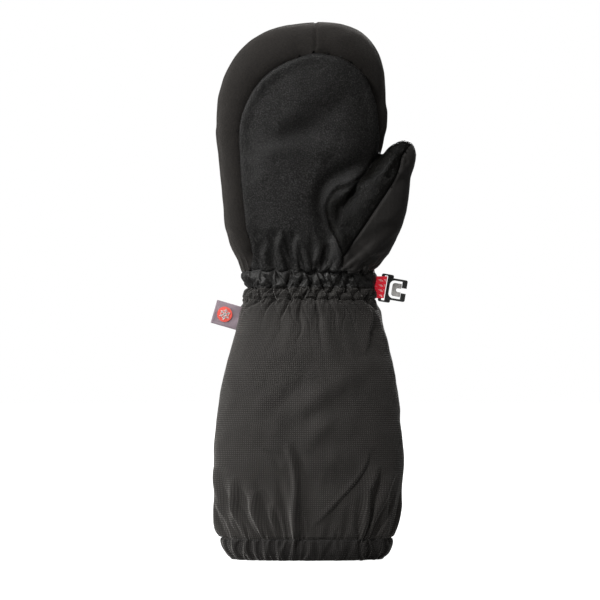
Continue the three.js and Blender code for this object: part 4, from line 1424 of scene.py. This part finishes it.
def rounded_copy(node, width, look, body):
    """A CAD node's shape with its edges rounded, as a moulded part has them."""
    piece = add_object(node + "_moulding", frame["nodes"][node].data.copy())
    weld = piece.modifiers.new("weld", "WELD")
    weld.merge_threshold = 0.01 * MM
    flat = piece.modifiers.new("flat", "DECIMATE")
    flat.decimate_type = "DISSOLVE"
    flat.angle_limit = math.radians(2)
    bevel = piece.modifiers.new("bevel", "BEVEL")
    bevel.width = width * MM
    bevel.segments = 3
    bevel.limit_method = "ANGLE"
    bevel.angle_limit = math.radians(40)
    bevel.harden_normals = True
    made = evaluated(piece)
    piece.modifiers.clear()
    piece.data = made
    made.polygons.foreach_set("use_smooth", np.ones(len(made.polygons), bool))
    wear(piece, look)
    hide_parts(node)
    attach(piece, body)


# ------------------------ stage, lights and camera


AIM = (0, 0, 0.17)  # metres, like the rest of the studio
LIGHTS = (  # name, place, size, power, colour
    ("key", (-0.78, -0.92, 1.05), 0.3, 22.5, (1, 0.99, 0.98)),
    ("side", (-1.7, -0.35, 0.75), 0.5, 26, (1, 0.99, 0.98)),
    ("back", (0.5, 2.0, 1.2), 0.8, 42, (1, 1, 1)),
    ("fill", (1.2, -1.6, 0.5), 1.2, 3, (1, 0.93, 0.84)),
    ("top", (-0.2, -0.4, 1.9), 0.8, 8, (1, 1, 1)),
)
AMBIENT = 0.13  # how strongly the white surroundings light the mitten; the camera sees them at 1
FLOOR_REACH = 3.0


def area_light(name, place, size, power, colour):
    """A round lamp that faces the mitten."""
    light = bpy.data.lights.new(name, "AREA")
    light.shape = "DISK"
    light.size = size
    light.energy = power
    light.color = colour
    lamp = add_object(name, light)
    lamp.location = place
    lamp.rotation_euler = (Vector(AIM) - Vector(place)).to_track_quat("-Z", "Y").to_euler()


def studio():
    """A white floor and white surroundings, and the lamps."""
    floor_mesh = bpy.data.meshes.new("floor")
    corners = [(x * FLOOR_REACH, y * FLOOR_REACH, 0) for x, y in ((-1, -1), (1, -1), (1, 1), (-1, 1))]
    floor_mesh.from_pydata(corners, [], [(0, 1, 2, 3)])
    floor = add_object("floor", floor_mesh)
    look = Look("floor_white", (0.25, 0.25, 0.25), 0.9, specular=0.1)
    look.set("Emission Color", (1, 1, 1, 1))
    look.set("Emission Strength", look.node("ShaderNodeLightPath", {}).outputs["Is Camera Ray"])
    floor.data.materials.append(look.material)
    for light in LIGHTS:
        area_light(*light)
    world = bpy.data.worlds.new("studio_white")
    bpy.context.scene.world = world
    world.use_nodes = True
    nodes, links = world.node_tree.nodes, world.node_tree.links
    seen, soft = nodes["Background"], nodes.new("ShaderNodeBackground")
    for background, strength in ((seen, 1.0), (soft, AMBIENT)):
        background.inputs["Color"].default_value = (1, 1, 1, 1)
        background.inputs["Strength"].default_value = strength
    path = nodes.new("ShaderNodeLightPath")
    mix = nodes.new("ShaderNodeMixShader")
    links.new(path.outputs["Is Camera Ray"], mix.inputs["Fac"])
    links.new(soft.outputs["Background"], mix.inputs[1])
    links.new(seen.outputs["Background"], mix.inputs[2])
    links.new(mix.outputs["Shader"], nodes["World Output"].inputs["Surface"])


VIEW_DISTANCE, VIEW_WIDTH = 2.0, 0.384  # metres
VIEW_SHIFT = (-0.0083, -0.0059)  # sideways and up from the middle of the CAD box


def camera():
    """A long lens level with the mitten's middle, looking straight at the palm."""
    lens = bpy.data.cameras.new("camera")
    lens.sensor_width = 36
    lens.lens = lens.sensor_width * VIEW_DISTANCE / VIEW_WIDTH
    low, high = CAD_BOX
    x, z = (low.x + high.x) / 2 + VIEW_SHIFT[0], (low.z + high.z) / 2 + VIEW_SHIFT[1]
    eye = add_object("camera", lens)
    eye.location = (x, -VIEW_DISTANCE, z)
    eye.rotation_euler = (math.pi / 2, 0, 0)
    bpy.context.scene.camera = eye
    bpy.context.scene.view_settings.view_transform = "Standard"


camera()
studio()
frame_looks()
SLEEVE = gathered_sleeve()
sleeve_pieces()
hand_pieces()
soft_layers()
stitch_rows()
label_pieces()
rounded_copy("clip_frame", 0.45, "clip_plastic", "clip")
rounded_copy("clip_tongue", 0.3, "tongue_plastic", "tongue")
